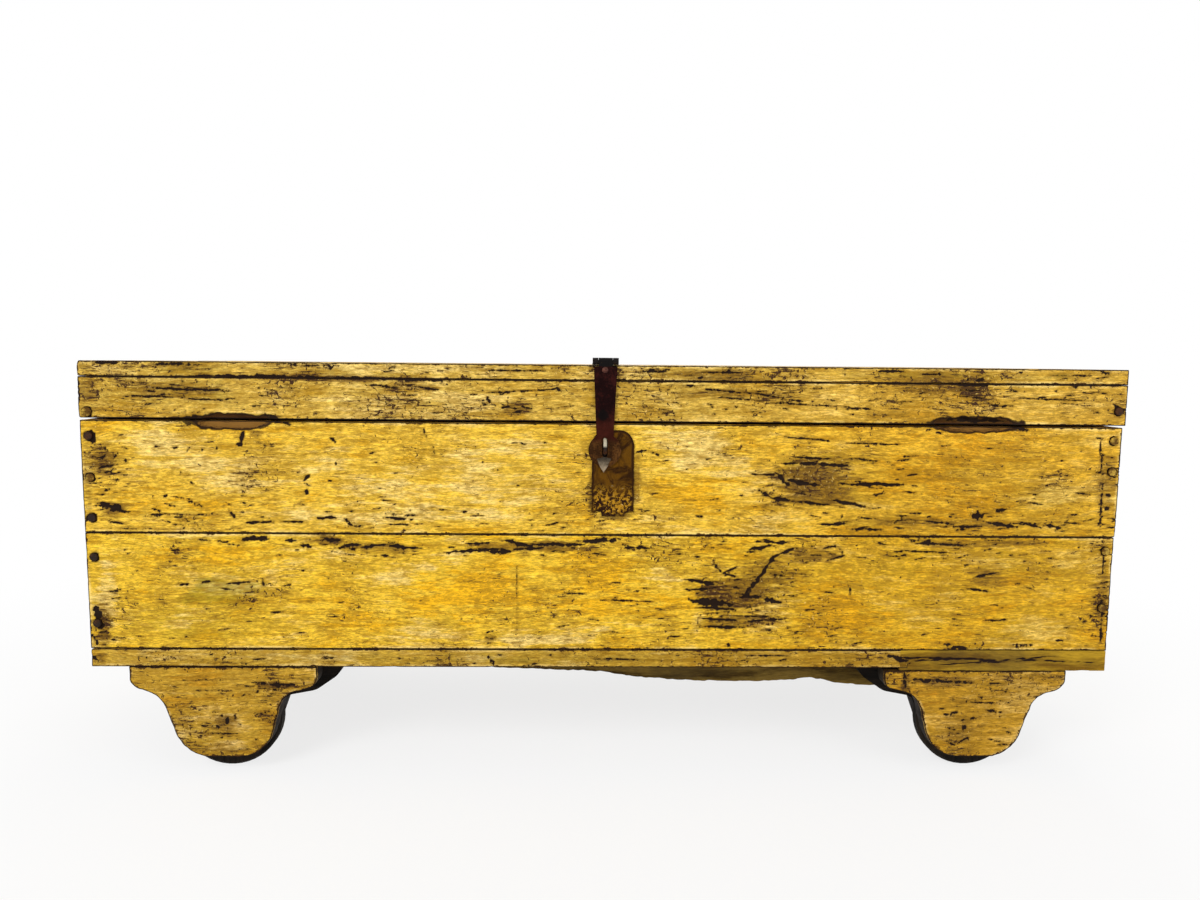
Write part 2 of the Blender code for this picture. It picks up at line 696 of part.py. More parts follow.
def nail_corners(walls, iron):
    """Nails through the front planks into the end boards."""
    rows = (
        ("left", "upper", chest_left_x + NAIL_INSET, rim_z, UPPER_PLANK_HEIGHT, LEFT_UPPER_NAILS),
        ("left", "lower", chest_left_x + NAIL_INSET, seam_z, LOWER_PLANK_HEIGHT, LEFT_LOWER_NAILS),
        ("right", "upper", upper_right_x - NAIL_INSET, rim_z, UPPER_PLANK_HEIGHT, RIGHT_UPPER_NAILS),
        ("right", "lower", lower_right_x - NAIL_INSET, seam_z, LOWER_PLANK_HEIGHT, RIGHT_LOWER_NAILS),
    )
    for side, level, x, top, height, shares in rows:
        into = (walls[f"front_plank_{level}"], walls[f"{side}_end_{level}"])
        for i, share in enumerate(shares):
            drive_nail(f"nail_{side}_{level}_{i + 1}", x, top - share * height, into, iron)


def nail_lid(front_rail, side_rails, iron):
    """A slotted screw and a nail hold the lid's front rail to its side rails."""
    screw_at = (lid_left_x + NAIL_INSET, rail_z + LID_SCREW_RISE)
    screw = drive_nail(
        "lid_screw", *screw_at, (front_rail, side_rails["left"]), iron, SCREW_HEAD_RADIUS,
    )
    half_slot = Vector((SCREW_HEAD_RADIUS * 1.5, NAIL_HEAD_HEIGHT / 2, SCREW_SLOT_WIDTH / 2))
    middle = Vector((screw_at[0], front_y - TOUCH - NAIL_HEAD_HEIGHT, screw_at[1]))
    combine(screw, block("lid_screw_slot", middle - half_slot, middle + half_slot), "DIFFERENCE")
    nail_at = (lid_right_x - NAIL_INSET, rail_z + LID_NAIL_RISE)
    nail = drive_nail("lid_nail", *nail_at, (front_rail, side_rails["right"]), iron)
    return [screw, nail]


def main():
    clear_scene()
    paint = finish("Yellow paint", (0.66, 0.44, 0.09), 0.6)
    bare = finish("Bare wood", (0.33, 0.22, 0.07), 0.75)
    dark = finish("Dark wood", (0.03, 0.025, 0.02), 0.7)
    iron = finish("Old iron", (0.07, 0.035, 0.03), 0.5, 0.8)

    walls = make_walls(paint)
    make_floor(paint, bare)
    make_feet(paint, dark, iron)
    lid, front_rail = make_lid(paint)
    cut_notches(walls["front_plank_upper"], front_rail)
    side_rails = {side: bpy.data.objects[f"lid_rail_{side}"] for side in ("left", "right")}
    lid += nail_lid(front_rail, side_rails, iron)
    lid += make_hinges(iron)
    hasp_fixings, strap = make_hasp(iron)
    lid += hasp_fixings
    make_staple(walls["front_plank_upper"], iron)
    nail_corners(walls, iron)

    lid_axis = carry("lid_axis", (0, hinge_y, hinge_z), lid)
    hasp_axis = carry("hasp_axis", (HASP_X, hasp_y, hasp_z), [strap])
    carry_on = lid_axis.matrix_world.inverted()
    hasp_axis.parent = lid_axis
    hasp_axis.matrix_parent_inverse = carry_on


main()
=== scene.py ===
# %% [markdown]
# # A painted plank chest on wooden wheels
# The real thing is a long, low blanket chest. Its planks wear a mustard-yellow paint that has rubbed
# thin, cracked along the grain and chipped off at every edge. A dark iron hasp holds the lid shut.
#
# The engineering model gives each piece its place and size. This lesson dresses it: boards get worn
# edges, gouges and finger notches in real geometry, and every surface gets a material made of nodes.

import json
import math

import bpy
import numpy as np
from mathutils import Matrix, Vector
from mathutils.geometry import delaunay_2d_cdt


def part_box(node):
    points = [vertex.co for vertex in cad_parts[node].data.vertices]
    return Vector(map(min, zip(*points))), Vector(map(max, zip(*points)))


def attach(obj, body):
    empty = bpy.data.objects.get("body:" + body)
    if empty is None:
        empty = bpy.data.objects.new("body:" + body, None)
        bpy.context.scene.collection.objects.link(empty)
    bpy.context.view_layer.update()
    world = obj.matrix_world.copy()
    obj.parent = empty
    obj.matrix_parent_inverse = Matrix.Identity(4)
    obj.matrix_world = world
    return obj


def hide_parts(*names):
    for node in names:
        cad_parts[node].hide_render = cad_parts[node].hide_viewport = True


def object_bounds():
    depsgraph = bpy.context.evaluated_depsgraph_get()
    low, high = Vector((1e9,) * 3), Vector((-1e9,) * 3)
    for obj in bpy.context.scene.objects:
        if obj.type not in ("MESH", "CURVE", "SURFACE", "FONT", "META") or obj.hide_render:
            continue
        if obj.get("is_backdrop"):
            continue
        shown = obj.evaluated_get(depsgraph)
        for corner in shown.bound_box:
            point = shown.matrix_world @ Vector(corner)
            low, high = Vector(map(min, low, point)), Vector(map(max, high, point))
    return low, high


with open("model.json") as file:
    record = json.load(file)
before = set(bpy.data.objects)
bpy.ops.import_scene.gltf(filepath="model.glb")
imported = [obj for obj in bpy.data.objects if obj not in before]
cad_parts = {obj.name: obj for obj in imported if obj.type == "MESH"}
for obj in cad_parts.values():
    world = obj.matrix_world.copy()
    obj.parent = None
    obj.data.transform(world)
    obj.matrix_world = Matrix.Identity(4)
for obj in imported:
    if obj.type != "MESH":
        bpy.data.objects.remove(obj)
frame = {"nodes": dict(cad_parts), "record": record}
cad_low, cad_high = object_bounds()
front_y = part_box("front_plank_upper")[0].y
lid_top_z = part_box("lid_board_middle")[1].z
rim_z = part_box("front_plank_upper")[1].z
print("The chest measures", [round(v, 3) for v in cad_high - cad_low], "metres")


# %% Bring things into the scene
def into_scene(name, data):
    """A new object with this data, linked to the scene."""
    thing = bpy.data.objects.new(name, data)
    bpy.context.scene.collection.objects.link(thing)
    return thing


# %% [markdown]
# ## The camera
# The photograph was taken almost square to the front, a little above the lid's height. Blender's camera
# is placed by three directions instead of angles: where it looks, what lies to its right, and what lies
# below. They are kept as vectors, because they also turn a pixel of the photograph into a place on the
# chest's front, which helps to put each crack where it was seen.

# %% Stand where the photographer stood
PHOTO_WIDTH, PHOTO_HEIGHT = 1200, 900
FOCAL_PIXELS = 867
SENSOR_MM = 36
EYE_X, EYE_AHEAD, EYE_ABOVE = -0.039, 1.239, 0.004
yaw, pitch, roll = (math.radians(angle) for angle in (1.23, 5.78, -0.54))
eye = Vector((EYE_X, front_y - EYE_AHEAD, lid_top_z + EYE_ABOVE))
ahead = Vector((math.sin(yaw) * math.cos(pitch), math.cos(yaw) * math.cos(pitch), -math.sin(pitch)))
level = Vector((math.cos(yaw), -math.sin(yaw), 0))
right = math.cos(roll) * level + math.sin(roll) * ahead.cross(level)
down = -math.sin(roll) * level + math.cos(roll) * ahead.cross(level)

camera = into_scene("camera", bpy.data.cameras.new("camera"))
camera.data.sensor_width = SENSOR_MM
camera.data.lens = SENSOR_MM * FOCAL_PIXELS / PHOTO_WIDTH
camera.matrix_world = Matrix.Translation(eye) @ Matrix((right, -down, -ahead)).transposed().to_4x4()
bpy.context.scene.camera = camera
print("The lens is", round(camera.data.lens, 1), "mm long")


# %% Turn a pixel of the photograph into a place on the front
def from_photo(u, v):
    """The x and z on the chest's front that show at this pixel of the photograph."""
    ray = FOCAL_PIXELS * ahead + (u - PHOTO_WIDTH / 2) * right + (v - PHOTO_HEIGHT / 2) * down
    place = eye + ray * ((front_y - eye.y) / ray.y)
    return place.x, place.z


PIXEL = from_photo(601, 500)[0] - from_photo(600, 500)[0]
print("One pixel is", round(PIXEL * 1000, 2), "mm on the front")

# %% [markdown]
# ## Wear with numbers
# Old wood is irregular at every size. Soft noise gives each place a value from 0 to 1 that changes
# smoothly, and the same place always gets the same value, so a second run makes the same chest. Numpy
# works on all the points of a board at once, which keeps boards of forty thousand points quick.


# %% Smooth noise for shapes
def dice(column, row, seed):
    """A steady random value from 0 to 1 for each square of a grid."""
    value = np.sin(column * 127.1 + row * 311.7 + seed * 74.7) * 43758.5453
    return value - np.floor(value)


def soft_noise(x, y, seed=0):
    """Smooth noise from 0 to 1, with about one hump per unit of x and y."""
    column, row = np.floor(x), np.floor(y)
    a, b = x - column, y - row
    a, b = a * a * (3 - 2 * a), b * b * (3 - 2 * b)
    low = dice(column, row, seed) * (1 - a) + dice(column + 1, row, seed) * a
    high = dice(column, row + 1, seed) * (1 - a) + dice(column + 1, row + 1, seed) * a
    return low * (1 - b) + high * b


def fade(value, start, end):
    """0 before start, 1 after end, and a smooth change between them."""
    share = np.clip((value - start) / (end - start), 0, 1)
    return share * share * (3 - 2 * share)


print("Noise at one place:", round(float(soft_noise(np.array(0.3), np.array(0.7))), 3))

# %% [markdown]
# ## A board's mesh
# A board is a closed box with a fine grid on the face that is looked at. Its other sides follow the
# grid's rim in rings, and long narrow faces close the back. A subdivided cube would spend as many points
# on the hidden faces. Rings lie close together near each edge, where the wood will be rounded.

# %% Space the grid's lines
EDGE_RINGS = (0, 0.001, 0.0025, 0.005, 0.009)
BACK_INSETS = (0.001, 0.0025, 0.005)
RING_STEP = 0.012


def spread(length, step):
    """Places along a length, close together near both ends."""
    rings = np.array(EDGE_RINGS) * min(1, length / (2.4 * EDGE_RINGS[-1]))
    count = max(2, round((length - 2 * rings[-1]) / step) + 1)
    middle = np.linspace(rings[-1], length - rings[-1], count)
    return np.concatenate([rings[:-1], middle, length - rings[-2::-1]])


def ring_faces(ring, after):
    """The faces between two closed rings of points."""
    return np.stack([ring, after, np.roll(after, -1), np.roll(ring, -1)], 1).tolist()


def board_mesh(length, width, thickness, step, row):
    """Points (along, across, into the wood) and faces of a closed board with a fine front."""
    along, across = spread(length, step), spread(width, row)
    grid = np.stack(np.meshgrid(along, across, [0.0], indexing="ij"), -1).reshape(-1, 3)
    number = np.arange(len(grid)).reshape(len(along), len(across))
    cells = [number[:-1, :-1], number[1:, :-1], number[1:, 1:], number[:-1, 1:]]
    faces = np.stack(cells, -1).reshape(-1, 4).tolist()
    rim = np.concatenate([number[:-1, 0], number[-1, :-1], number[:0:-1, -1], number[0, :0:-1]])
    points, ring = [grid], rim
    sides = [(depth, 0) for depth in spread(thickness, RING_STEP)[1:-1]]
    for depth, inset in sides + [(thickness, inset) for inset in BACK_INSETS]:
        lower = grid[rim] * [1 - 2 * inset / length, 1 - 2 * inset / width, 0] + [inset, inset, depth]
        after = len(grid) + (len(points) - 1) * len(rim) + np.arange(len(rim))
        faces += ring_faces(ring, after)
        points.append(lower)
        ring = after
    end = len(along) - 1
    turn = end + len(across) - 1
    near, far = ring[: end + 1], ring[turn : turn + end + 1][::-1]
    faces += np.stack([near[1:-2], far[1:-2], far[2:-1], near[2:-1]], 1).tolist()
    faces += [ring[end - 1 : turn + 2][::-1].tolist(), np.r_[ring[turn + end - 1 :], ring[:2]][::-1].tolist()]
    return np.concatenate(points), faces


trial_points, trial_faces = board_mesh(0.2, 0.1, 0.024, 0.01, 0.01)
print("A trial board has", len(trial_points), "points and", len(trial_faces), "faces")

# %% [markdown]
# ## Rounded, chipped edges
# Years of knocks round an edge and break pieces out of it. Each point near an edge is pulled onto a
# circle that touches both faces. The circle's radius comes from noise: small almost everywhere, and
# suddenly large where a chip is gone. A Bevel modifier would give every edge the same width. The wood
# only ever moves inward, so no board grows past its measured size.


# %% Wear the edges of a box
def chip_radius(place, least, most, seed):
    """How far an edge has worn at each place: mostly the least, with bites up to the most."""
    run = place[:, 0] + 0.83 * place[:, 1]
    bites = soft_noise(run * 38, place[:, 2] * 38, seed) * 0.6
    bites += soft_noise(run * 150, place[:, 2] * 150, seed + 5) * 0.4
    return least + (most - least) * fade(bites, 0.42, 0.95)


def round_box(points, size, radius):
    """Pulls the points of a box onto rounded edges and corners."""
    radius = np.minimum(radius, min(size) * 0.45)[:, None]
    core = np.clip(points, radius, size - radius)
    out = points - core
    reach = np.maximum(np.linalg.norm(out, axis=1, keepdims=True), 1e-9)
    return np.where(reach > radius, core + out * radius / reach, points)


def edge_distance(points, size):
    """How far each surface point is from the nearest edge of its box."""
    gaps = np.minimum(points, size - points)
    return np.sort(gaps, axis=1)[:, 1]


trial = round_box(np.zeros((1, 3)), np.array((0.1, 0.1, 0.1)), np.array([0.003]))
print("A 3 mm radius moves a corner by", round(float(np.linalg.norm(trial)) * 1000, 2), "mm")

# %% [markdown]
# ## Cracks and gouges, read from the photograph
# The black marks on the real chest are splits and torn-out splinters, and most lie along the grain.
# Each is written as a line between two pixels with a thickness in pixels. On a board it becomes a
# tapering trench with ragged sides. The same mask is kept on the points, so that the material can
# blacken exactly the wood that is cut.

# %% The cracks near the lid
lid_cracks = {
    "stain along the rail's top": (185, 376, 330, 377, 3.2), "its end": (330, 377, 451, 381, 2.6),
    "long scratch": (106, 381, 160, 383, 1.6), "scratch beside it": (120, 396, 178, 397, 1.8),
    "dark line": (150, 388, 232, 391, 2.2), "lower scratch": (182, 399, 228, 400, 1.8),
    "crack by the middle": (368, 385, 400, 388, 2.2), "its branch": (398, 383, 440, 390, 2.4),
    "hooked line": (485, 393, 561, 389, 1.8), "hook": (487, 396, 490, 404, 2.6),
    "tick": (556, 386, 561, 393, 3), "speckle one": (500, 408, 512, 407, 2.4),
    "speckle two": (512, 413, 524, 411, 2), "speckle three": (520, 406, 534, 409, 2),
    "crackle one": (666, 386, 706, 386, 2.2), "crackle two": (704, 389, 742, 393, 2.2),
    "crackle three": (742, 392, 786, 398, 2), "crackle four": (718, 397, 762, 401, 1.6),
    "long hair": (770, 403, 850, 407, 1.3), "dash": (846, 409, 873, 409, 2.2),
    "dash by the knot": (990, 405, 1008, 407, 2), "knot line one": (955, 384, 990, 386, 2.6),
    "knot line two": (950, 389, 985, 390, 1.8), "knot line three": (958, 396, 990, 399, 1.6),
    "right hair": (1010, 398, 1092, 401, 1.2), "end split": (1113, 404, 1128, 412, 2.6),
    "end split two": (1116, 414, 1128, 408, 2), "board nick one": (878, 371, 905, 371.5, 2.4),
    "board nick two": (920, 374, 950, 373, 2.2), "board nick three": (960, 379, 994, 380, 2.6),
    "board nick four": (632, 371, 672, 371, 2.4), "board nick five": (700, 372, 742, 373, 2.2),
    "board nick six": (1050, 375, 1092, 376, 1.6), "board nick seven": (90, 363, 118, 362, 3),
    "board nick eight": (146, 363, 200, 365, 2.4), "board nick nine": (262, 364, 340, 366, 1.6),
    "board nick ten": (480, 370, 548, 371, 1.6), "left end": (76, 366, 79, 402, 2.4),
    "left notch's tail": (166, 419.5, 198, 416.5, 2.8),
    "left notch's other tail": (268, 420, 292, 424.5, 2.6), "left notch's step": (262, 413, 278, 420, 3.4),
    "right notch's tail": (1012, 426.5, 1030, 431.5, 3.6), "right notch's top": (944, 419, 1008, 421, 4.5),
    "right notch's start": (926, 430, 942, 433.5, 2.4),
}

# %% The cracks in the upper plank
upper_cracks = {
    "corner hole": (82, 436, 96, 437, 10), "side nail": (84, 477, 90, 477, 5),
    "low nail hole": (85, 518, 94, 518, 7), "left smudge": (99, 506, 122, 508, 5.5),
    "left smudge two": (108, 510, 132, 512, 2.2), "left smudge three": (96, 503, 110, 504, 2),
    "corner curl": (104, 446, 107, 452, 2), "corner curl two": (107, 452, 101, 459, 2),
    "corner curl three": (118, 452, 112, 460, 1.6), "corner specks": (99, 468, 114, 465, 2.4),
    "corner specks two": (102, 473, 112, 471, 1.8), "corner tick": (121, 447, 128, 449, 1.8),
    "corner tick two": (124, 458, 127, 464, 1.6), "left scratch": (178, 468, 181, 476, 1.1),
    "left scratch two": (188, 480, 196, 486, 1.1), "small hook": (163, 497, 167, 495, 2.6),
    "small hook two": (188, 498, 196, 507, 1.8), "small hook three": (196, 503, 203, 508, 1.6),
    "seam scratch": (84, 528, 236, 528.5, 1.4), "seam scratch two": (150, 514, 222, 515, 1.1),
    "drip": (244, 431, 239, 445, 4.5), "drip's foot": (236, 444, 242, 445, 3.5),
    "squiggle one": (309, 474, 304, 481, 2.8), "squiggle two": (304, 482, 309, 487, 2.4),
    "squiggle three": (307, 489, 306, 495, 3.4), "standing mark": (423, 427, 427, 438, 1.5),
    "standing mark two": (432, 444, 436, 459, 1.8), "tick one": (152, 446, 160, 446, 1.6),
    "tick two": (170, 449, 178, 447, 1.6), "tick three": (186, 452, 190, 446, 1.6),
    "tick four": (200, 453, 204, 446, 1.8), "tick five": (214, 453, 218, 446, 1.6),
    "fleck one": (330, 437, 337, 444, 2.4), "fleck two": (334, 464, 338, 463, 3),
    "fleck three": (392, 474, 399, 473, 3), "flake one": (151, 509, 161, 512, 3),
    "flake two": (228, 508, 236, 520, 3), "dash one": (244, 523, 271, 522, 2.6),
    "dash two": (282, 522, 304, 522, 2.2), "dash three": (316, 518, 337, 518, 3),
    "dash four": (344, 518, 352, 526, 2.4), "dash five": (385, 518, 406, 519, 2.6),
    "dash six": (388, 524, 410, 525, 2), "dash seven": (545, 526, 560, 522, 2),
    "brown bow": (636, 452, 648, 450, 2.2), "brown bow's end": (648, 450, 660, 456, 2.2),
    "knot top": (780, 463, 852, 466, 3.2), "knot top two": (792, 457, 830, 459, 2),
    "knot left": (776, 473, 790, 487, 4), "knot lower": (787, 481, 820, 486, 4.5),
    "bold line": (838, 484, 906, 485, 3.2), "left line": (748, 474, 776, 475, 2),
    "left bow": (757, 490, 772, 498, 3), "left bow's end": (770, 498, 792, 501, 3.2),
    "under the knot": (787, 501, 832, 505, 2.2), "under it": (830, 500, 868, 507, 2.8),
    "upper hair": (783, 437, 845, 442, 1.6), "upper hair's end": (845, 443, 901, 445, 1.4),
    "right line": (850, 458, 882, 462, 1.6), "star hole": (972, 515, 984, 515, 6.5),
    "star's point": (977, 510, 979, 521, 4), "brown tick": (995, 511, 1007, 510, 3.4),
    "low dash": (818, 525, 850, 524, 2.4), "low dash two": (850, 529, 883, 530, 2.2),
    "low dash three": (925, 521, 956, 525, 2.2), "low dash four": (952, 527, 983, 526, 2.4),
    "low dash five": (987, 523, 1020, 527, 3), "low dash six": (1020, 522, 1042, 528, 2.4),
    "low black": (1042, 525, 1063, 529, 4), "low black two": (1064, 523, 1080, 524, 2.4),
    "right edge": (1101, 438, 1103, 480, 1.8), "right edge low": (1103, 478, 1100, 528, 2),
    "right nail": (1109, 441, 1117, 440, 3.4), "right nail two": (1109, 474, 1117, 473, 3.4),
    "right hole": (1106, 496, 1112, 495, 4), "right hole two": (1105, 509, 1111, 509, 4),
}

# %% The cracks in the lower plank and the plinth
lower_cracks = {
    "flake one": (222, 542, 229, 542, 3), "flake two": (240, 540, 268, 537, 4),
    "flake three": (285, 541, 296, 541, 3), "dot": (300, 547, 311, 547, 6),
    "stain's core": (318, 538, 340, 541, 4), "dash one": (340, 546, 362, 545, 3),
    "dash two": (360, 548, 386, 544, 3), "dash three": (385, 545, 420, 549, 3.4),
    "long dash": (442, 553, 505, 549, 3), "upper dash": (465, 544, 490, 543, 2.6),
    "black": (488, 552, 512, 552, 4), "brown": (506, 541, 532, 548, 5),
    "brown two": (512, 550, 544, 548, 3), "seam dash": (530, 544, 585, 545, 3),
    "seam black": (580, 541, 625, 540, 4), "seam dash two": (623, 548, 650, 548, 3),
    "seam dash three": (752, 541, 794, 543, 3.4), "arc": (748, 550, 772, 546, 3.4),
    "left dot": (90, 557, 97, 557, 4), "dots": (261, 578, 264, 588, 2.4),
    "corner black": (94, 606, 101, 618, 6), "corner nail": (96, 625, 104, 625, 7),
    "corner low": (92, 634, 98, 645, 4), "scratch": (517, 566, 518, 648, 1.1),
    "comb": (178, 585, 190, 584, 2), "comb two": (200, 583, 216, 581, 2),
    "comb three": (226, 584, 252, 582, 2), "branch foot": (747, 592, 757, 582, 4.2),
    "branch": (756, 583, 768, 566, 4.6), "branch neck": (767, 567, 775, 556, 3.8),
    "below it": (742, 600, 752, 590, 3), "square": (485, 633, 495, 631, 1.6),
    "square two": (484, 637, 496, 640, 1.6), "square three": (486, 643, 495, 645, 1.4),
    "branch head": (774, 557, 795, 548, 3.2), "twig": (747, 591, 742, 599, 2.6),
    "arrow": (713, 562, 722, 574, 2.2), "arrow two": (722, 574, 739, 566, 2.2),
    "arrow three": (722, 573, 738, 578, 1.8), "stain line": (684, 580, 716, 584, 4),
    "stain line two": (684, 590, 720, 588, 2.4), "dark core": (688, 600, 735, 605, 6),
    "dark core two": (695, 608, 738, 610, 3), "black spot": (764, 600, 782, 602, 6),
    "spot two": (738, 598, 764, 596, 3), "knot ring top": (822, 549, 838, 546, 2),
    "knot ring side": (838, 546, 845, 556, 2.2), "knot ring low": (845, 556, 826, 561, 1.8),
    "right dash": (849, 584, 852, 600, 2), "cluster one": (697, 618, 740, 621, 2.2),
    "cluster two": (704, 627, 746, 628, 3), "cluster three": (744, 622, 787, 619, 2),
    "cluster four": (735, 616, 780, 618, 1.8), "hook": (697, 619, 701, 628, 2.6),
    "small one": (725, 645, 733, 646, 3), "small two": (945, 648, 970, 648, 3),
    "small three": (1006, 646, 1035, 645, 3), "under seam": (911, 543, 966, 546, 2.2),
    "under seam two": (900, 551, 940, 552, 1.6), "under seam three": (985, 541, 1030, 543, 2),
    "speckle": (973, 578, 1000, 572, 2.2), "speckle two": (966, 588, 990, 592, 2),
    "late dash": (982, 621, 1008, 620, 2.4), "late dash two": (560, 593, 590, 594, 1.6),
    "late dash three": (600, 600, 655, 602, 1.4), "right edge": (1103, 540, 1104, 590, 2.2),
    "right edge low": (1103, 590, 1101, 646, 2.6), "right nail": (1100, 551, 1109, 551, 5),
    "right nail two": (1097, 608, 1106, 608, 7), "plinth left": (92, 655, 100, 664, 3),
    "plinth dash": (590, 659, 640, 660, 1.4), "plinth crack": (887, 656, 930, 661, 2),
    "plinth crack two": (905, 662, 975, 658, 1.6), "plinth crack three": (950, 664, 1040, 661, 1.4),
    "plinth nick": (487, 655, 495, 666, 2.6), "plinth dash two": (730, 655, 790, 656, 1.6),
    "repair's wedge": (884, 654, 912, 664, 5), "repair's split": (908, 657, 1010, 661, 1.8),
    "repair's split two": (930, 666, 1060, 656, 1.5), "repair's split three": (1020, 660, 1100, 663, 1.4),
    "bearer's split": (640, 671, 720, 679, 1.4), "bearer's split two": (716, 679, 806, 669, 1.6),
    "bearer's split three": (700, 671, 770, 684, 1.2), "bearer's split four": (800, 671, 862, 682, 1.8),
    "bearer's split five": (590, 668, 660, 671, 1.4),
}

# %% The cracks in the feet
foot_cracks = {
    "left smear": (251, 684, 296, 686, 3.4), "left smear two": (258, 689, 290, 688, 2),
    "left streak": (178, 681, 240, 680, 1.2), "left streak two": (190, 692, 232, 691, 1.2),
    "spot": (214, 727, 220, 727, 5), "spot two": (224, 721, 229, 722, 6),
    "spot three": (232, 718, 237, 718, 4), "spot four": (219, 716, 223, 716, 2.4),
    "left brown": (255, 716, 270, 712, 2.4), "left low": (206, 734, 240, 735, 1.4),
    "right streak": (908, 680, 977, 684, 3), "upright": (905, 672, 906, 690, 3.4),
    "right line": (951, 702, 1020, 705, 1.6), "right dash": (985, 711, 1004, 714, 2.6),
    "hole": (962, 728, 968, 728, 5), "speckle": (946, 741, 956, 746, 2.4),
    "speckle two": (958, 745, 970, 738, 2.2), "red line": (1030, 714, 1050, 696, 1.6),
    "smudge": (944, 716, 960, 712, 2.6), "smudge two": (960, 722, 981, 717, 2),
    "smudge three": (948, 728, 956, 731, 2),
}
cracks = [*lid_cracks.values(), *upper_cracks.values(), *lower_cracks.values(), *foot_cracks.values()]
print(len(cracks), "cracks are written down")

# %% [markdown]
# ## Small ticks
# Between the large marks lie hundreds of ticks, where a sliver of paint came off. Nobody needs each of
# them in its true place, so a box of pixels and a count are enough: numbered dice throw them.

# %% Throw the ticks
tick_boxes = [  # left, top, right and bottom pixel, and how many
    (130, 378, 300, 414, 34), (100, 364, 560, 372, 26), (360, 380, 590, 414, 26), (640, 384, 800, 414, 34),
    (800, 382, 1120, 414, 45), (580, 366, 1124, 380, 42), (84, 434, 126, 484, 26), (84, 486, 110, 526, 14),
    (130, 438, 600, 505, 34), (140, 500, 330, 528, 26), (330, 508, 610, 530, 45), (640, 440, 760, 520, 16),
    (756, 452, 905, 512, 45), (900, 440, 1090, 510, 26), (800, 512, 1090, 531, 60),
    (1094, 436, 1120, 528, 26), (100, 538, 330, 556, 20), (300, 538, 680, 556, 57),
    (680, 540, 900, 560, 26), (884, 538, 1090, 560, 38), (110, 570, 420, 645, 26),
    (540, 580, 700, 640, 26), (680, 572, 800, 636, 48), (800, 562, 1090, 645, 50), (92, 590, 112, 646, 18),
    (1090, 545, 1108, 645, 20), (90, 653, 880, 666, 38), (170, 680, 300, 700, 18),
    (190, 700, 280, 750, 26), (906, 674, 1050, 700, 22), (925, 690, 1020, 752, 38),
]
TICK_LENGTHS = 3, 13  # the least, and how much longer one can be
TICK_WIDTHS = 0.7, 0.9
TICK_SLANT = 0.4
ticks = []
for box_number, (u0, v0, u1, v1, count) in enumerate(tick_boxes):
    rolls = np.outer(np.arange(count) + 1, [12.9, 78.2, 37.7, 94.7, 51.3]) + box_number * 3.1
    for over, drop, long, slant, bold in np.modf(np.abs(np.sin(rolls) * 43758.5))[0].tolist():
        start_u, start_v = u0 + over * (u1 - u0), v0 + drop * (v1 - v0)
        run = TICK_LENGTHS[0] + TICK_LENGTHS[1] * long**2
        end_v = start_v + run * (slant - 0.5) * TICK_SLANT
        width = TICK_WIDTHS[0] + TICK_WIDTHS[1] * bold * bold
        ticks.append((start_u, start_v, start_u + run, end_v, width))
cracks += ticks
print(len(ticks), "ticks are thrown")

# %% [markdown]
# ## Stains and patches of colour
# The paint isn't one yellow. It is pale where it was rubbed, orange where varnish is thick, olive where
# dirt sits, and brown around knots. The olive boxes over the right half also darken it, and one pale box
# brightens the lid board's front edge: painted shade and a painted highlight. Each patch is a box of
# pixels with a strength, and is laid on with a soft, streaky brush: an ellipse whose edge is broken up
# by noise that runs along the grain.

# %% Where the colours lie
brown_stains = [
    (640, 366, 790, 386, 0.55), (880, 368, 1000, 402, 0.5), (952, 382, 992, 402, 0.55),
    (180, 371, 452, 386, 0.6), (96, 376, 240, 402, 0.3), (368, 380, 442, 396, 0.35),
    (495, 400, 540, 420, 0.5), (72, 374, 104, 410, 0.45), (660, 384, 790, 404, 0.45),
    (84, 442, 122, 482, 0.6), (92, 500, 136, 518, 0.6), (242, 427, 270, 441, 0.6),
    (765, 448, 872, 512, 0.65), (780, 460, 850, 490, 0.75), (752, 488, 868, 512, 0.5),
    (140, 505, 420, 530, 0.12), (812, 516, 1080, 532, 0.4), (1096, 432, 1118, 535, 0.35),
    (78, 425, 98, 530, 0.3), (312, 533, 345, 546, 0.8), (330, 541, 430, 556, 0.4),
    (440, 538, 640, 556, 0.55), (684, 574, 786, 612, 0.8), (735, 548, 800, 600, 0.4),
    (776, 544, 846, 568, 0.5), (695, 612, 790, 632, 0.5), (482, 628, 498, 650, 0.4),
    (90, 600, 116, 648, 0.7), (1092, 540, 1112, 648, 0.35), (960, 562, 1012, 596, 0.45),
    (560, 628, 576, 656, 0.3), (895, 538, 1060, 550, 0.4), (250, 680, 298, 692, 0.7),
    (208, 712, 242, 734, 0.6), (250, 708, 274, 726, 0.4), (905, 675, 980, 690, 0.5),
    (932, 704, 994, 750, 0.35), (900, 668, 912, 700, 0.6), (92, 650, 112, 668, 0.5),
    (1030, 690, 1056, 720, 0.4), (180, 742, 260, 758, 0.3), (930, 744, 990, 758, 0.3),
    (586, 466, 600, 522, 0.6), (590, 510, 640, 524, 0.5), (630, 440, 642, 522, 0.5),
]
# The first two boxes, over the right half, darken it as painted shade; the others are olive dirt.
olive_patches = [
    (740, 380, 1200, 720, 0.55), (640, 520, 1180, 690, 0.35), (60, 650, 1110, 668, 0.5),
    (60, 362, 260, 412, 0.35), (170, 572, 268, 614, 1.5), (110, 590, 300, 650, 0.55),
    (74, 374, 240, 412, 0.5), (140, 362, 230, 374, 0.6), (760, 368, 1130, 384, 0.9),
    (760, 436, 890, 512, 0.6), (676, 566, 800, 616, 0.6), (1040, 470, 1090, 520, 0.35),
    (660, 640, 900, 668, 0.3), (560, 372, 1120, 384, 0.3), (202, 379, 232, 404, 0.6),
    (880, 640, 1108, 668, 0.6), (150, 716, 240, 756, 0.3), (700, 540, 860, 600, 0.4),
    (300, 372, 470, 384, 0.4),
]
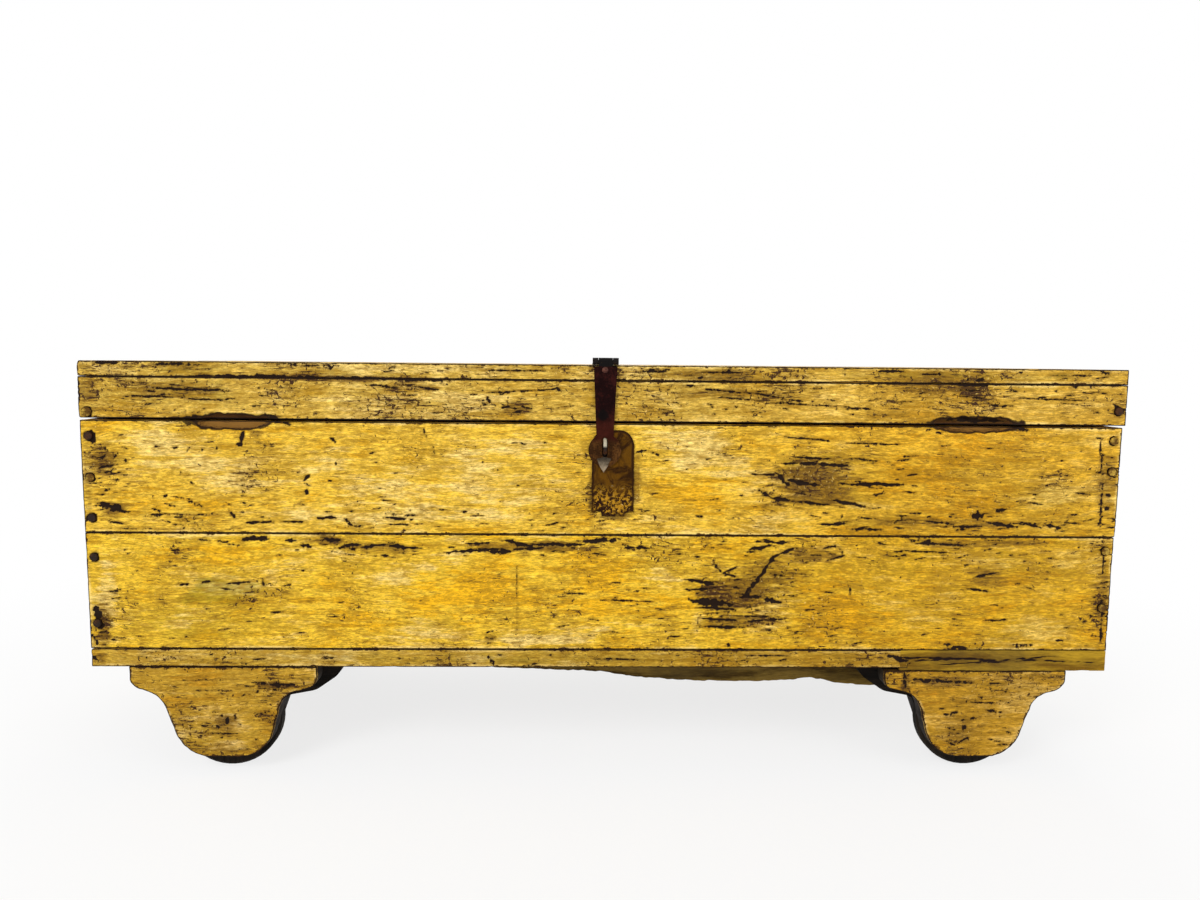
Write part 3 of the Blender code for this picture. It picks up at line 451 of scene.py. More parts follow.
# The last box, along the lid board's front edge, is paler partly as a painted highlight.
pale_patches = [
    (100, 420, 235, 470, 0.7), (130, 430, 420, 520, 0.6), (420, 430, 592, 520, 0.75),
    (640, 428, 760, 500, 0.85), (180, 500, 600, 528, 0.6), (92, 540, 122, 640, 0.7),
    (110, 560, 330, 600, 0.35), (380, 612, 476, 644, 0.8), (470, 630, 620, 650, 0.6),
    (980, 600, 1095, 648, 0.55), (1000, 480, 1080, 512, 0.5), (640, 566, 690, 586, 0.4),
    (78, 360, 122, 374, 0.7), (250, 388, 592, 418, 0.7), (620, 388, 700, 416, 0.4),
    (150, 678, 210, 700, 0.3), (780, 512, 960, 530, 0.4), (196, 736, 256, 756, 0.5),
    (910, 668, 1060, 695, 0.6), (95, 652, 480, 662, 0.3), (1000, 388, 1112, 420, 0.4),
    (330, 560, 500, 590, 0.4), (76, 430, 100, 528, 0.4), (690, 600, 706, 645, 0.7),
    (906, 690, 1040, 756, 0.45), (300, 362, 590, 376, 0.8),
]
orange_patches = [
    (96, 480, 330, 520, 0.5), (150, 470, 300, 500, 0.5), (400, 560, 524, 622, 0.9),
    (540, 556, 690, 640, 0.8), (640, 456, 760, 520, 0.55), (770, 580, 900, 645, 0.8),
    (930, 560, 1080, 600, 0.55), (120, 536, 330, 566, 0.5), (330, 600, 520, 640, 0.35),
    (560, 500, 600, 534, 0.5), (905, 440, 1000, 500, 0.4), (236, 470, 420, 512, 0.45),
    (140, 690, 200, 720, 0.6), (900, 690, 960, 716, 0.4), (620, 655, 860, 668, 0.4),
    (300, 655, 520, 668, 0.25), (330, 400, 480, 418, 0.3), (700, 500, 780, 530, 0.4),
]
patches = {"stain": brown_stains, "olive": olive_patches, "pale": pale_patches, "orange": orange_patches}
print("Boxes of pixels:", {mark: len(areas) for mark, areas in patches.items()})


# %% Lay a patch and cut a crack
def patch(x, z, u0, v0, u1, v1, strength, seed):
    """A soft ellipse with a streaky edge, as strong as asked."""
    (left, top), (far, bottom) = from_photo(u0, v0), from_photo(u1, v1)
    across, up = (x - (left + far) / 2) / (far - left) * 2, (z - (top + bottom) / 2) / (top - bottom) * 2
    ragged = soft_noise(x * 26, z * 210, seed) * 0.5 + soft_noise(x * 90, z * 420, seed + 3) * 0.35
    return strength * fade(1.4 - np.hypot(across, up) - ragged, 0, 0.6)


CRACK_SLOPE = 0.3


def crack(x, z, u0, v0, u1, v1, thickness, seed):
    """A tapering, ragged trench from one pixel to another: above 0.5 inside, and fading out around it."""
    (x0, z0), (x1, z1) = from_photo(u0, v0), from_photo(u1, v1)
    length, half = math.hypot(x1 - x0, z1 - z0), thickness * PIXEL / 2
    along = ((x - x0) * (x1 - x0) + (z - z0) * (z1 - z0)) / length
    aside = ((z - z0) * (x1 - x0) - (x - x0) * (z1 - z0)) / length
    share = np.clip(along / length, 0, 1)
    width = half * np.sqrt(4 * share * (1 - share)) * (0.35 + 1.2 * soft_noise(along * 240, along * 0, seed))
    wander = half * (soft_noise(along * 110, along * 0, seed + 9) - 0.5)
    return np.clip(0.5 + (width - np.abs(aside - wander)) / PIXEL * CRACK_SLOPE, 0, 1) * (width > 0)


def all_patches(x, z, areas):
    """The strongest of several patches at each place."""
    return np.max([patch(x, z, *area, seed) for seed, area in enumerate(areas)], axis=0)


def one_place(x, z):
    """One place as two arrays, for the functions that take many places."""
    return np.array([x]), np.array([z])


KNOT_PIXEL = 715, 603
knot_stain = all_patches(*one_place(*from_photo(*KNOT_PIXEL)), brown_stains)[0]
print("The stain in the lower plank is", round(float(knot_stain), 2), "strong in its middle")


# %% Find the cracks at many places
def all_cracks(x, z):
    """How deep each place lies in a crack, from 0 to 1."""
    depth = np.zeros(len(x))
    for seed, line in enumerate(cracks):
        (x0, z0), (x1, z1) = from_photo(*line[:2]), from_photo(*line[2:4])
        margin = (line[4] + 1) * PIXEL
        near = (x > min(x0, x1) - margin) & (x < max(x0, x1) + margin)
        near &= (z > min(z0, z1) - margin) & (z < max(z0, z1) + margin)
        if near.any():
            depth[near] = np.maximum(depth[near], crack(x[near], z[near], *line, seed))
    return depth


BOLD_LINE_PIXEL = 875, 484.6
bold_line = all_cracks(*one_place(*from_photo(*BOLD_LINE_PIXEL)))[0]
print("The bold line in the upper plank is", round(float(bold_line), 2), "deep in its middle")

# %% [markdown]
# ## Finger notches
# Two shallow scoops cross the seam between lid and chest, so that fingers can lift the lid. They were
# cut after painting, so their floor is bare brown wood with splintered ends. Each is a flattened
# bowl: the same curve deepens the plank and the lid's rail, so the two halves line up.

# %% Hollow a notch
lid_left_x, lid_right_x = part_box("lid_board_middle")[0].x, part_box("lid_board_middle")[1].x
seam_z = (rim_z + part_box("lid_rail_front")[0].z) / 2
NOTCH_DEPTH = 0.0085
NOTCH_REACH = NOTCH_DEPTH * 1.3
notches = {  # the middle's x and z, the length and the height
    "left": (lid_left_x + 0.215, seam_z - 0.0025, 0.119, 0.0243),
    "right": (lid_right_x - 0.221, seam_z + 0.0014, 0.133, 0.0230),
}


def notch_share(x, z):
    """1 in the middle of a notch, 0 on its outline, and less outside it."""
    share = np.full(len(x), -1.0)
    for centre_x, centre_z, length, height in notches.values():
        ragged = 0.3 * (soft_noise(x * 90, z * 60, 4) - 0.5) + 0.16 * (soft_noise(x * 260, z * 300, 6) - 0.5)
        across, up = (x - centre_x) / length * 2, (z - centre_z) / height * 2
        share = np.maximum(share, 1 - np.hypot(across, up) - ragged)
    return share


def notch_floor(x, z):
    """How deep the notches are at each place on the front."""
    grooves = 1 + 0.2 * (soft_noise(x * 12, z * 500, 2) - 0.5)
    return NOTCH_DEPTH * fade(notch_share(x, z), 0, 0.4) * grooves


left_depth = notch_floor(*one_place(*notches["left"][:2]))[0]
print("The left notch is", round(float(left_depth) * 1000, 1), "mm deep in its middle")

# %% [markdown]
# ## From board to worn board
# One recipe makes all the boards: build the grid, round the edges, push cracks, notches and a slight
# waviness into the main face, and store what happened as named attributes on the points. A material
# can read such an attribute, so paint and shape agree without any image.

# %% The five ways a board can face
facings = {  # along the board, across it, and into the wood
    "front": ((1, 0, 0), (0, 0, 1), (0, 1, 0)),
    "back": ((-1, 0, 0), (0, 0, 1), (0, -1, 0)),
    "top": ((1, 0, 0), (0, 1, 0), (0, 0, -1)),
    "left": ((0, -1, 0), (0, 0, 1), (1, 0, 0)),
    "right": ((0, 1, 0), (0, 0, 1), (-1, 0, 0)),
}
CRACK_DEPTH = 0.0016
SHADOWED_FROM = from_photo(640, 500)[0], from_photo(940, 500)[0]  # painted shade: the front grows darker from here to there
WAVE_DEPTH = 0.0005
GROOVE_DEPTH = 0.00035
floor_top_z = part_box("floor_board_middle")[1].z
underside_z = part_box("floor_board_middle")[0].z
print("Boards can face", ", ".join(facings))

# %% Tell painted outside from bare inside
inner_low = np.array((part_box("left_end_upper")[1].x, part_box("front_plank_upper")[1].y, floor_top_z))
inner_high = np.array(
    (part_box("right_end_lower")[0].x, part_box("back_plank_upper")[0].y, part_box("lid_board_middle")[0].z))
INSIDE_FADE = -0.0012, -0.0002
BARE_BEHIND, BARE_UNTIL_Y = 0.028, 0.288  # the underside is bare from here to there
UNDER_ABOVE, UNDER_BELOW, UNDER_FADE = 0.0015, 0.006, 0.001


def coat_at(place):
    """1 on the outside, which was painted, and 0 inside the chest and under it, where the wood is bare."""
    within = np.minimum(place - inner_low, inner_high - place).min(1)
    between = np.minimum(place[:, 1] - cad_low.y - BARE_BEHIND, BARE_UNTIL_Y - place[:, 1])
    under = np.minimum(underside_z + UNDER_ABOVE - place[:, 2], between)
    below = fade(under, 0, UNDER_FADE) * (place[:, 2] > underside_z - UNDER_BELOW)
    return 1 - np.maximum(fade(within, *INSIDE_FADE), below)


print("The inside is", [round(float(v), 3) for v in inner_high - inner_low], "metres wide, deep and high")

# %% Collect the marks of the front
NAIL_RING = 0.0022
NAIL_RING_STRENGTH = 0.75
MARKS_END = 0.012, 0.004  # how far into the wood the marks go
nails = [name for name in frame["nodes"] if name.startswith(("nail_", "lid_nail", "lid_screw"))]


def nail_rings(x, z):
    """The dark ring in the paint round each nail: 0.5 at its edge."""
    ring = np.zeros(len(x))
    for name in nails:
        low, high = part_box(name)
        gap = np.hypot(x - (low.x + high.x) / 2, z - (low.z + high.z) / 2) - (high.z - low.z) / 2
        ring = np.maximum(ring, fade(gap, NAIL_RING * 1.6, NAIL_RING * 0.2))
    return ring * NAIL_RING_STRENGTH


def front_marks(place, inward):
    """The named marks of the chest's painted front at each place."""
    x, z = place[:, 0], place[:, 2]
    marks = {"crack": np.maximum(all_cracks(x, z), nail_rings(x, z))}
    marks |= {mark: all_patches(x, z, areas) for mark, areas in patches.items()}
    marks = {mark: mask * fade(inward, *MARKS_END) for mark, mask in marks.items()}
    # Painted shade: darker towards the right of the front.
    marks["shadowed"] = fade(x, *SHADOWED_FROM)
    return marks | {"notch": np.clip(notch_share(x, z) + 0.5, 0, 1) * (inward < NOTCH_REACH)}


print(len(nails), "nails and screws leave a ring in the paint")


# %% Show a piece and hang its facts on it
def show(name, points, faces, body, slot_name, material, stands_for=(), sharp=50, **marks):
    """Makes a piece of points and faces that rides on a body, with its marks as attributes."""
    mesh = bpy.data.meshes.new(name)
    mesh.from_pydata(np.asarray(points).tolist(), [], faces)
    for mark, values in marks.items():
        attribute = mesh.attributes.new(mark, "FLOAT", "POINT")
        attribute.data.foreach_set("value", np.asarray(values, dtype=np.float32))
    mesh.shade_smooth()
    mesh.set_sharp_from_angle(angle=math.radians(sharp))
    mesh.materials.append(material)
    piece = into_scene(name, mesh)
    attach(piece, body)
    if stands_for:
        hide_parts(*stands_for)
    return piece


body_of = {node: body for body, nodes in frame["record"]["behaviour"]["bodies"].items() for node in nodes}
print(len(body_of), "pieces of the model have a body")


# %% Make a worn board
def worn_board(
    node, facing, material, step=0.012, row=0.008, wear=(0.0008, 0.004), slot_name="painted_wood", seed=1,
):
    """Replaces a plank of the model by one with chipped edges, cracks and uneven faces."""
    low, high = (np.array(corner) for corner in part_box(node))
    axes = np.array(facings[facing], dtype=float)
    size = np.abs(axes @ (high - low))
    start = np.where(axes.sum(0) > 0, low, high)
    points, faces = board_mesh(*size, step, row)
    place = start + points @ axes
    edge = edge_distance(points, size)
    worn = round_box(points, size, chip_radius(place, *wear, seed))
    marks = {"crack": np.zeros(len(points))}
    floor = WAVE_DEPTH * soft_noise(points[:, 0] * 9, points[:, 1] * 24, seed)
    floor += GROOVE_DEPTH * soft_noise(points[:, 0] * 22, points[:, 1] * 270, seed + 2)
    if facing == "front":
        marks = front_marks(start + worn @ axes, points[:, 2])
        floor += CRACK_DEPTH * fade(marks["crack"], 0.35, 0.6) + notch_floor(place[:, 0], place[:, 2])
    worn[:, 2] = np.maximum(worn[:, 2], floor)
    marks |= {"edge": edge, "coat": coat_at(place) * fade(size[2] - points[:, 2], 0.0, BACK_INSETS[0])}
    place = start + worn @ axes
    return show(f"worn_{node}", place, faces, body_of[node], slot_name, material, (node,), **marks)


print("The recipe for worn boards is ready")

# %% [markdown]
# ## Slabs with a curved outline
# The feet, the rough bearer under the chest and the hasp's plate were sawn or cut to an outline. Their
# outline is read from the model's own side faces, so it can't drift from the measured shape. A
# Delaunay triangulation then fills it with small triangles, which carry wear and marks as a board's
# grid does. A Remesh modifier would also fill it, but it would wear away the sharp corners.


# %% Read a slab's outline from the model
def outline_of(node):
    """The longest outline of a slab's front, as (x, z) points, counterclockwise from the front."""
    mesh = frame["nodes"][node].data
    middle = sum(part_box(node), Vector()).y / 2
    edges = set()
    for face in mesh.polygons:
        if abs(face.normal.y) < 0.2:
            spots = [tuple(round(c, 5) for c in mesh.vertices[i].co) for i in face.vertices]
            edges |= set(zip(spots, spots[1:] + spots[:1]))
    after = {b: a for a, b in edges if (b, a) not in edges and max(a[1], b[1]) < middle}
    loops = []
    while after:
        loop = [next(iter(after))]
        while loop[-1] in after:
            loop.append(after.pop(loop[-1]))
        loops.append([(x, z) for x, _, z in loop[:-1]])
    return max((np.array(loop) for loop in loops), key=lambda loop: np.ptp(loop, 0).sum())


def even_outline(outline, step):
    """The same outline with points about a step apart and its corners kept."""
    runs = zip(outline, np.roll(outline, -1, 0))
    counts = [(a, b, max(1, round(float(np.linalg.norm(b - a)) / step))) for a, b in runs]
    return np.array([a + (b - a) * k / count for a, b, count in counts for k in range(count)])


foot_outline = outline_of("cheek_outer_front_left")
print("The left foot's outline has", len(foot_outline), "points")


# %% Measure from a slab's rim
def rim_facts(points, rim):
    """Each point's distance from the outline, and the direction inward from there."""
    run = np.roll(rim, -1, 0) - rim
    share = np.clip(((points[:, None] - rim) * run).sum(-1) / (run**2).sum(-1), 0, 1)
    gaps = np.linalg.norm(points[:, None] - rim - share[..., None] * run, axis=-1)
    nearest = gaps.argmin(1)
    normal = np.stack([-run[:, 1], run[:, 0]], 1)
    normal /= np.linalg.norm(normal, axis=1, keepdims=True)
    normal = normal + np.roll(normal, 1, 0)
    part = share[np.arange(len(points)), nearest][:, None]
    inward = normal[nearest] * (1 - part) + np.roll(normal, -1, 0)[nearest] * part
    return gaps.min(1), inward / np.linalg.norm(inward, axis=1, keepdims=True)


LATTICE_SHAKE = 0.3
MERGE_DISTANCE = 1e-7


def slab_mesh(rim, thickness, step):
    """Points (along, up, into the slab) and faces of a closed slab, finely divided on both sides."""
    low, high = rim.min(0), rim.max(0)
    lattice = np.stack(np.meshgrid(*(np.arange(a, b, step) for a, b in zip(low, high))), -1).reshape(-1, 2)
    shake = np.stack([dice(*lattice.T * 1e3, 1), dice(*lattice.T * 1e3, 2)], 1) - 0.5
    cap = [Vector(spot) for spot in np.concatenate([rim, lattice + step * LATTICE_SHAKE * shake])]
    border = [list(range(len(rim)))]
    spots, _, triangles, sources, *_ = delaunay_2d_cdt(cap, [], border, 1, MERGE_DISTANCE)
    spots = np.array([tuple(spot) for spot in spots])
    place_of = {source: i for i, group in enumerate(sources) for source in group}
    ring = np.array([place_of[i] for i in range(len(rim))])
    used = sorted({i for triangle in triangles for i in triangle} | set(ring.tolist()))
    number = {old: new for new, old in enumerate(used)}
    front = [[number[i] for i in triangle] for triangle in triangles]
    spots, ring = spots[used], np.array([number[i] for i in ring])
    count = len(spots)
    points = [np.c_[spots, np.zeros(count)], np.c_[spots, np.full(count, thickness)]]
    faces = front + [[i + count for i in triangle[::-1]] for triangle in front]
    before = ring
    for level, depth in enumerate(spread(thickness, RING_STEP)[1:-1]):
        after = 2 * count + level * len(rim) + np.arange(len(rim))
        points.append(np.c_[rim, np.full(len(rim), depth)])
        faces += ring_faces(before, after)
        before = after
    faces += ring_faces(before, ring + count)
    return np.concatenate(points), faces


trial_points, _ = slab_mesh(even_outline(foot_outline, 0.004), 0.028, 0.005)
print("A trial foot has", len(trial_points), "points")


# %% Make a worn slab
SLAB_COAT = 0.003


def worn_slab(
    node, material, facing="front", step=0.003, wear=(0.0008, 0.003), ragged=0.0005,
    slot_name="painted_wood", outline=None, wave=1.0,
):
    """Replaces a sawn piece of the model by one with worn edges, cracks and uneven faces."""
    low, high = (np.array(corner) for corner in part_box(node))
    side = 1 if facing == "front" else -1
    rim = outline_of(node) if outline is None else outline
    rim = even_outline(rim if side == 1 else rim[::-1] * [-1, 1], step)
    thickness, seed = high[1] - low[1], len(node)
    _, inward = rim_facts(rim, rim)
    rim = rim + inward * ragged * soft_noise(rim[:, 0] * 140, rim[:, 1] * 140, seed)[:, None]
    points, faces = slab_mesh(rim, thickness, step)
    gap, inward = rim_facts(points[:, :2], rim)
    depth = np.minimum(points[:, 2], thickness - points[:, 2])
    start_y = low[1] if side == 1 else high[1]
    place = np.c_[points[:, 0] * side, start_y + side * points[:, 2], points[:, 1]]
    radius = np.minimum(chip_radius(place, *wear, seed), thickness * 0.45)
    from_centre = np.hypot(radius - gap, radius - depth)
    corner = (gap < radius) & (depth < radius) & (from_centre > radius)
    pull = np.where(corner, radius / np.maximum(from_centre, 1e-9), 1)
    move_in = np.where(corner, radius - (radius - gap) * pull - gap, 0)
    toward_middle = np.where(points[:, 2] < thickness / 2, 1, -1)
    move_deep = np.where(corner, radius - (radius - depth) * pull - depth, 0) * toward_middle
    worn = points + np.c_[inward * move_in[:, None], move_deep]
    place = np.c_[worn[:, 0] * side, start_y + side * worn[:, 2], worn[:, 1]]
    floor = wave * WAVE_DEPTH * soft_noise(worn[:, 0] * 14, worn[:, 1] * 30, seed)
    floor += wave * GROOVE_DEPTH * soft_noise(worn[:, 0] * 30, worn[:, 1] * 240, seed)
    marks = {"crack": np.zeros(len(points))}
    if side == 1:
        marks = front_marks(place, points[:, 2])
        floor += CRACK_DEPTH * fade(marks["crack"], 0.35, 0.6)
    worn[:, 2] = np.clip(worn[:, 2], floor, None)
    place[:, 1] = start_y + side * worn[:, 2]
    marks |= {"edge": np.maximum(gap, depth), "coat": fade(points[:, 2], SLAB_COAT * 1.6, SLAB_COAT)}
    return show(f"worn_{node}", place, faces, body_of[node], slot_name, material, (node,), **marks)


print("The recipe for sawn slabs is ready")

# %% [markdown]
# ## Wiring materials by hand
# A node material is a small machine: noise goes in, numbers are stretched and mixed, and colour,
# roughness and height come out. Writing every link out would be long, so a helper adds a node, feeds
# its sockets and gives its output back. What several materials share becomes a node group, which is
# built once and placed in each with its own values.


# %% A helper that wires nodes
class Wiring:
    """Adds nodes to a tree and joins them up, from left to right."""

    def __init__(self, tree):
        self.tree, self.column = tree, 0

    def add(self, kind, inputs=(), output=0, **settings):
        node = self.tree.nodes.new(kind)
        node.location = (200 * self.column, -60 * (self.column % 4))
        self.column += 1
        for name, value in settings.items():
            setattr(node, name, value)
        for key, value in dict(inputs).items():
            if isinstance(value, bpy.types.NodeSocket):
                self.tree.links.new(value, node.inputs[key])
            else:
                node.inputs[key].default_value = value
        return node.outputs[output] if len(node.outputs) else node

    def maths(self, operation, a, b=0.0, clamp=False):
        return self.add("ShaderNodeMath", {0: a, 1: b}, operation=operation, use_clamp=clamp)

    def plus(self, a, b, clamp=False):
        return self.maths("ADD", a, b, clamp)

    def minus(self, a, b):
        return self.maths("SUBTRACT", a, b)

    def times(self, a, b):
        return self.maths("MULTIPLY", a, b)

    def most(self, a, b):
        return self.maths("MAXIMUM", a, b)

    def swing(self, noise, reach):
        """A noise that swings about 0 instead of 0.5, as far as asked."""
        return self.times(self.minus(noise, 0.5), reach)

    def stretch(self, vector, factors):
        return self.add("ShaderNodeVectorMath", {0: vector, 1: factors}, operation="MULTIPLY")

    def noise(self, vector, scale, detail=3.0, roughness=0.55, distortion=0.0):
        values = {"Vector": vector, "Scale": scale, "Detail": detail}
        values |= {"Roughness": roughness, "Distortion": distortion}
        return self.add("ShaderNodeTexNoise", values)

    def ramp(self, value, start, end, low=0.0, high=1.0):
        values = {0: value, 1: start, 2: end, 3: low, 4: high}
        return self.add("ShaderNodeMapRange", values, interpolation_type="SMOOTHSTEP")

    def mix(self, share, a, b, blend="MIX"):
        return self.add("ShaderNodeMix", {0: share, 6: a, 7: b}, 2, data_type="RGBA", blend_type=blend)

    def shade(self, colour, factor):
        return self.mix(1.0, colour, factor, "MULTIPLY")

    def mark(self, name):
        return self.add("ShaderNodeAttribute", output=2, attribute_name=name)

    def height_of(self, place):
        return self.add("ShaderNodeSeparateXYZ", {0: place}, 2)

    def distance(self, place, spot):
        return self.add("ShaderNodeVectorMath", {0: place, 1: spot}, 1, operation="DISTANCE")

    def put(self, tree, inputs):
        """Places a node group and gives back its node."""
        return self.add("ShaderNodeGroup", inputs, node_tree=tree).node


print("Noise, ramps, mixes and attributes are one call each")


# %% A helper that makes node groups
def group(name, inputs, outputs):
    """An empty group with named sockets: a number is a value, 3 numbers a vector, 4 a colour."""
    tree = bpy.data.node_groups.new(name, "ShaderNodeTree")
    kinds = {1: "NodeSocketFloat", 3: "NodeSocketVector", 4: "NodeSocketColor"}
    for socket, value in inputs.items():
        count = len(value) if isinstance(value, tuple) else 1
        tree.interface.new_socket(socket, in_out="INPUT", socket_type=kinds[count]).default_value = value
    for socket, kind in outputs.items():
        tree.interface.new_socket(socket, in_out="OUTPUT", socket_type=kinds[kind])
    wiring = Wiring(tree)
    source = tree.nodes.new("NodeGroupInput").outputs
    return tree, wiring, source


def finish_group(tree, **results):
    """Joins the results to the group's outputs."""
    sink = tree.nodes.new("NodeGroupOutput")
    for socket, value in results.items():
        tree.links.new(value, sink.inputs[socket.replace("_", " ")])


def colour(r, g, b):
    """A colour in linear light, solid."""
    return (r, g, b, 1.0)


print("Groups take numbers, vectors and colours")

# %% [markdown]
# ## Grain
# Grain is noise pulled out along the board. The group stretches the place before it asks for noise: a
# small factor along the board makes long streaks, and a large one across it makes them thin. It
# gives three sizes at once: clouds a hand wide, streaks a centimetre wide, and fine fibres. The
# stretched places come out too, once stretched for mottling and twice for dashes along the grain.

# %% Build the grain group
NOWHERE = (0.0, 0.0, 0.0)
ALONG_X, ALONG_Y, ALONG_Z = (1.0, 3.0, 3.0), (3.0, 1.0, 3.0), (3.0, 3.0, 1.0)
grain_group, wires, given = group(
    "Plank grain", {"Vector": NOWHERE, "Direction": ALONG_X, "Shift": 0.0},
    {"Cloud": 1, "Streak": 1, "Fibre": 1, "Moved": 3, "Stretched": 3, "Drawn": 3},
)
moved = wires.add("ShaderNodeVectorMath", {0: given["Vector"], 1: given["Shift"]}, operation="ADD")
bent = wires.swing(wires.noise(moved, 3.0, 2.0), 0.03)
moved = wires.add("ShaderNodeVectorMath", {0: moved, 1: bent}, operation="ADD")
stretched = wires.stretch(moved, given["Direction"])
drawn = wires.stretch(stretched, given["Direction"])
cloud = wires.noise(wires.stretch(moved, (1.0, 1.0, 2.0)), 9.0, 6.0, 0.6)
streak = wires.noise(drawn, 11.0, 8.0, 0.70, 0.15)
fibre = wires.noise(drawn, 75.0, 4.0, 0.75)
finish_group(
    grain_group, Cloud=cloud, Streak=streak, Fibre=fibre, Moved=moved, Stretched=stretched, Drawn=drawn)
print("Plank grain has", len(grain_group.nodes), "nodes")

# %% [markdown]
# ## Flecks
# Under a close look the paint is full of dark specks and short ticks, where it flaked off pores in the
# wood. They gather in some places and leave others clean. A high-detail noise is cut at a threshold,
# and a second, broader noise moves that threshold about.

# %% Build the fleck group
fleck_group, wires, given = group(
    "Paint flecks", {"Moved": NOWHERE, "Stretched": NOWHERE, "Drawn": NOWHERE, "Amount": 0.5},
    {"Mask": 1, "Halo": 1, "Hair": 1, "Crumb": 1},
)
crowd = wires.swing(wires.noise(given["Moved"], 10.0, 4.0, 0.65), 0.55)
crowd = wires.plus(crowd, wires.times(given["Amount"], 0.2))
dashes = wires.plus(wires.noise(given["Drawn"], 36.0, 5.0, 0.74, 0.3), crowd)
specks = wires.plus(wires.noise(given["Moved"], 150.0, 4.0, 0.72, 0.4), crowd)
mottle = wires.plus(wires.noise(given["Stretched"], 60.0, 6.0, 0.78, 0.5), wires.times(crowd, 0.7))
crumb = wires.plus(wires.noise(given["Moved"], 240.0, 3.0, 0.7), wires.times(crowd, 0.7))
hair = wires.noise(given["Drawn"], 9.0, 5.0, 0.6, 0.4)
hair = wires.ramp(wires.maths("ABSOLUTE", wires.minus(hair, 0.5)), 0.012, 0.003)
broken = wires.plus(wires.noise(given["Stretched"], 22.0, 3.0, 0.6), crowd)
hair = wires.times(hair, wires.ramp(broken, 0.58, 0.66))
mask = wires.most(wires.ramp(dashes, 0.745, 0.765), wires.ramp(specks, 0.755, 0.775))
halo, crumb = wires.ramp(mottle, 0.49, 0.70), wires.ramp(crumb, 0.75, 0.80)
finish_group(fleck_group, Mask=mask, Halo=halo, Hair=hair, Crumb=crumb)
print("Paint flecks has", len(fleck_group.nodes), "nodes")

# %% [markdown]
# ## Old paint
# This group makes the colour of the painted boards. Clouds choose between three yellows, the patches
# read from the photograph push that choice, streaks rub the paint thin, and dirt settles in the
# flecks. Worn edges and cracks show the dark wood. It also gives roughness and height, because a
# bare spot is duller and lower than the paint around it.

# %% Build the paint group: its sockets and the three yellows
paint_group, wires, given = group(
    "Old paint",
    {"Vector": NOWHERE, "Direction": ALONG_X, "Shift": 0.0, "Light": colour(0.92, 0.66, 0.19),
     "Body": colour(0.80, 0.49, 0.038), "Warm": colour(0.78, 0.415, 0.012),
     "Dirt": colour(0.30, 0.155, 0.007), "Umber": colour(0.125, 0.060, 0.005),
     "Wood": colour(0.044, 0.017, 0.004), "Black": colour(0.012, 0.005, 0.002),
     "Flecks": 0.5, "Edge reach": 0.0013, "Edge": 1.0, "Crack": 0.0, "Stain": 0.0, "Olive": 0.0, "Pale": 0.0,
     "Orange": 0.0, "Shadowed": 0.0, "Notch": 0.0, "Scoop": colour(0.21, 0.098, 0.016)},
    {"Color": 4, "Roughness": 1, "Height": 1},
)
grain = wires.put(grain_group, {socket: given[socket] for socket in ("Vector", "Direction", "Shift")})
cloud, streak, fibre, moved, stretched, drawn = grain.outputs
amount = wires.plus(given["Flecks"], wires.times(given["Stain"], 0.42))
flecks = wires.put(fleck_group, {"Moved": moved, "Stretched": stretched, "Drawn": drawn, "Amount": amount})
tone = wires.plus(wires.times(cloud, 0.8), wires.times(streak, 0.8))
tone = wires.plus(wires.minus(tone, 0.8), wires.times(given["Pale"], 0.2))
tone = wires.minus(tone, wires.times(given["Orange"], 0.2))
yellow = wires.mix(wires.ramp(tone, 0.02, 0.22), given["Body"], given["Light"])
yellow = wires.mix(wires.ramp(tone, -0.02, -0.15), yellow, given["Warm"])

# %% Build the paint group: fibres, age and stains
shaded = wires.shade(yellow, wires.ramp(fibre, 0.32, 0.62, 0.54, 1.12))
shaded = wires.shade(shaded, wires.ramp(streak, 0.30, 0.56, 0.72, 1.02))
pitted = wires.noise(stretched, 140.0, 4.0, 0.75)
shaded = wires.shade(shaded, wires.ramp(pitted, 0.34, 0.62, 0.70, 1.14))
# Painted shade: the right half of the front is multiplied darker by the shadowed mark.
shaded = wires.mix(given["Shadowed"], shaded, colour(0.96, 0.86, 0.56), "MULTIPLY")
# The olive mark tints dirt olive, and over the right half it is painted shade.
olive = wires.times(given["Olive"], wires.ramp(streak, 0.66, 0.40, 0.45, 1.0))
shaded = wires.mix(olive, shaded, colour(0.52, 0.56, 0.40), "MULTIPLY")
rubbed = wires.times(wires.ramp(given["Edge"], 0.0055, 0.0025), wires.ramp(cloud, 0.48, 0.60, 0.0, 0.75))
shaded = wires.mix(rubbed, shaded, given["Light"])
shaded = wires.mix(wires.times(flecks.outputs["Halo"], 0.7), shaded, given["Dirt"])
rub = wires.swing(wires.noise(drawn, 26.0, 6.0, 0.75), 1.6)
soaked = wires.plus(given["Stain"], wires.times(rub, wires.ramp(given["Stain"], 0.0, 0.25)))
speckled = wires.noise(stretched, 95.0, 5.0, 0.8, 0.4)
soil = wires.mix(wires.ramp(speckled, 0.45, 0.62), given["Umber"], given["Dirt"])
soil = wires.mix(wires.ramp(speckled, 0.43, 0.36), soil, given["Wood"])
shaded = wires.mix(wires.ramp(soaked, 0.06, 0.62, 0.0, 0.92), shaded, soil)
shaded = wires.mix(wires.times(flecks.outputs["Crumb"], 0.5), shaded, given["Light"])
shaded = wires.mix(wires.times(flecks.outputs["Hair"], 0.75), shaded, given["Umber"])

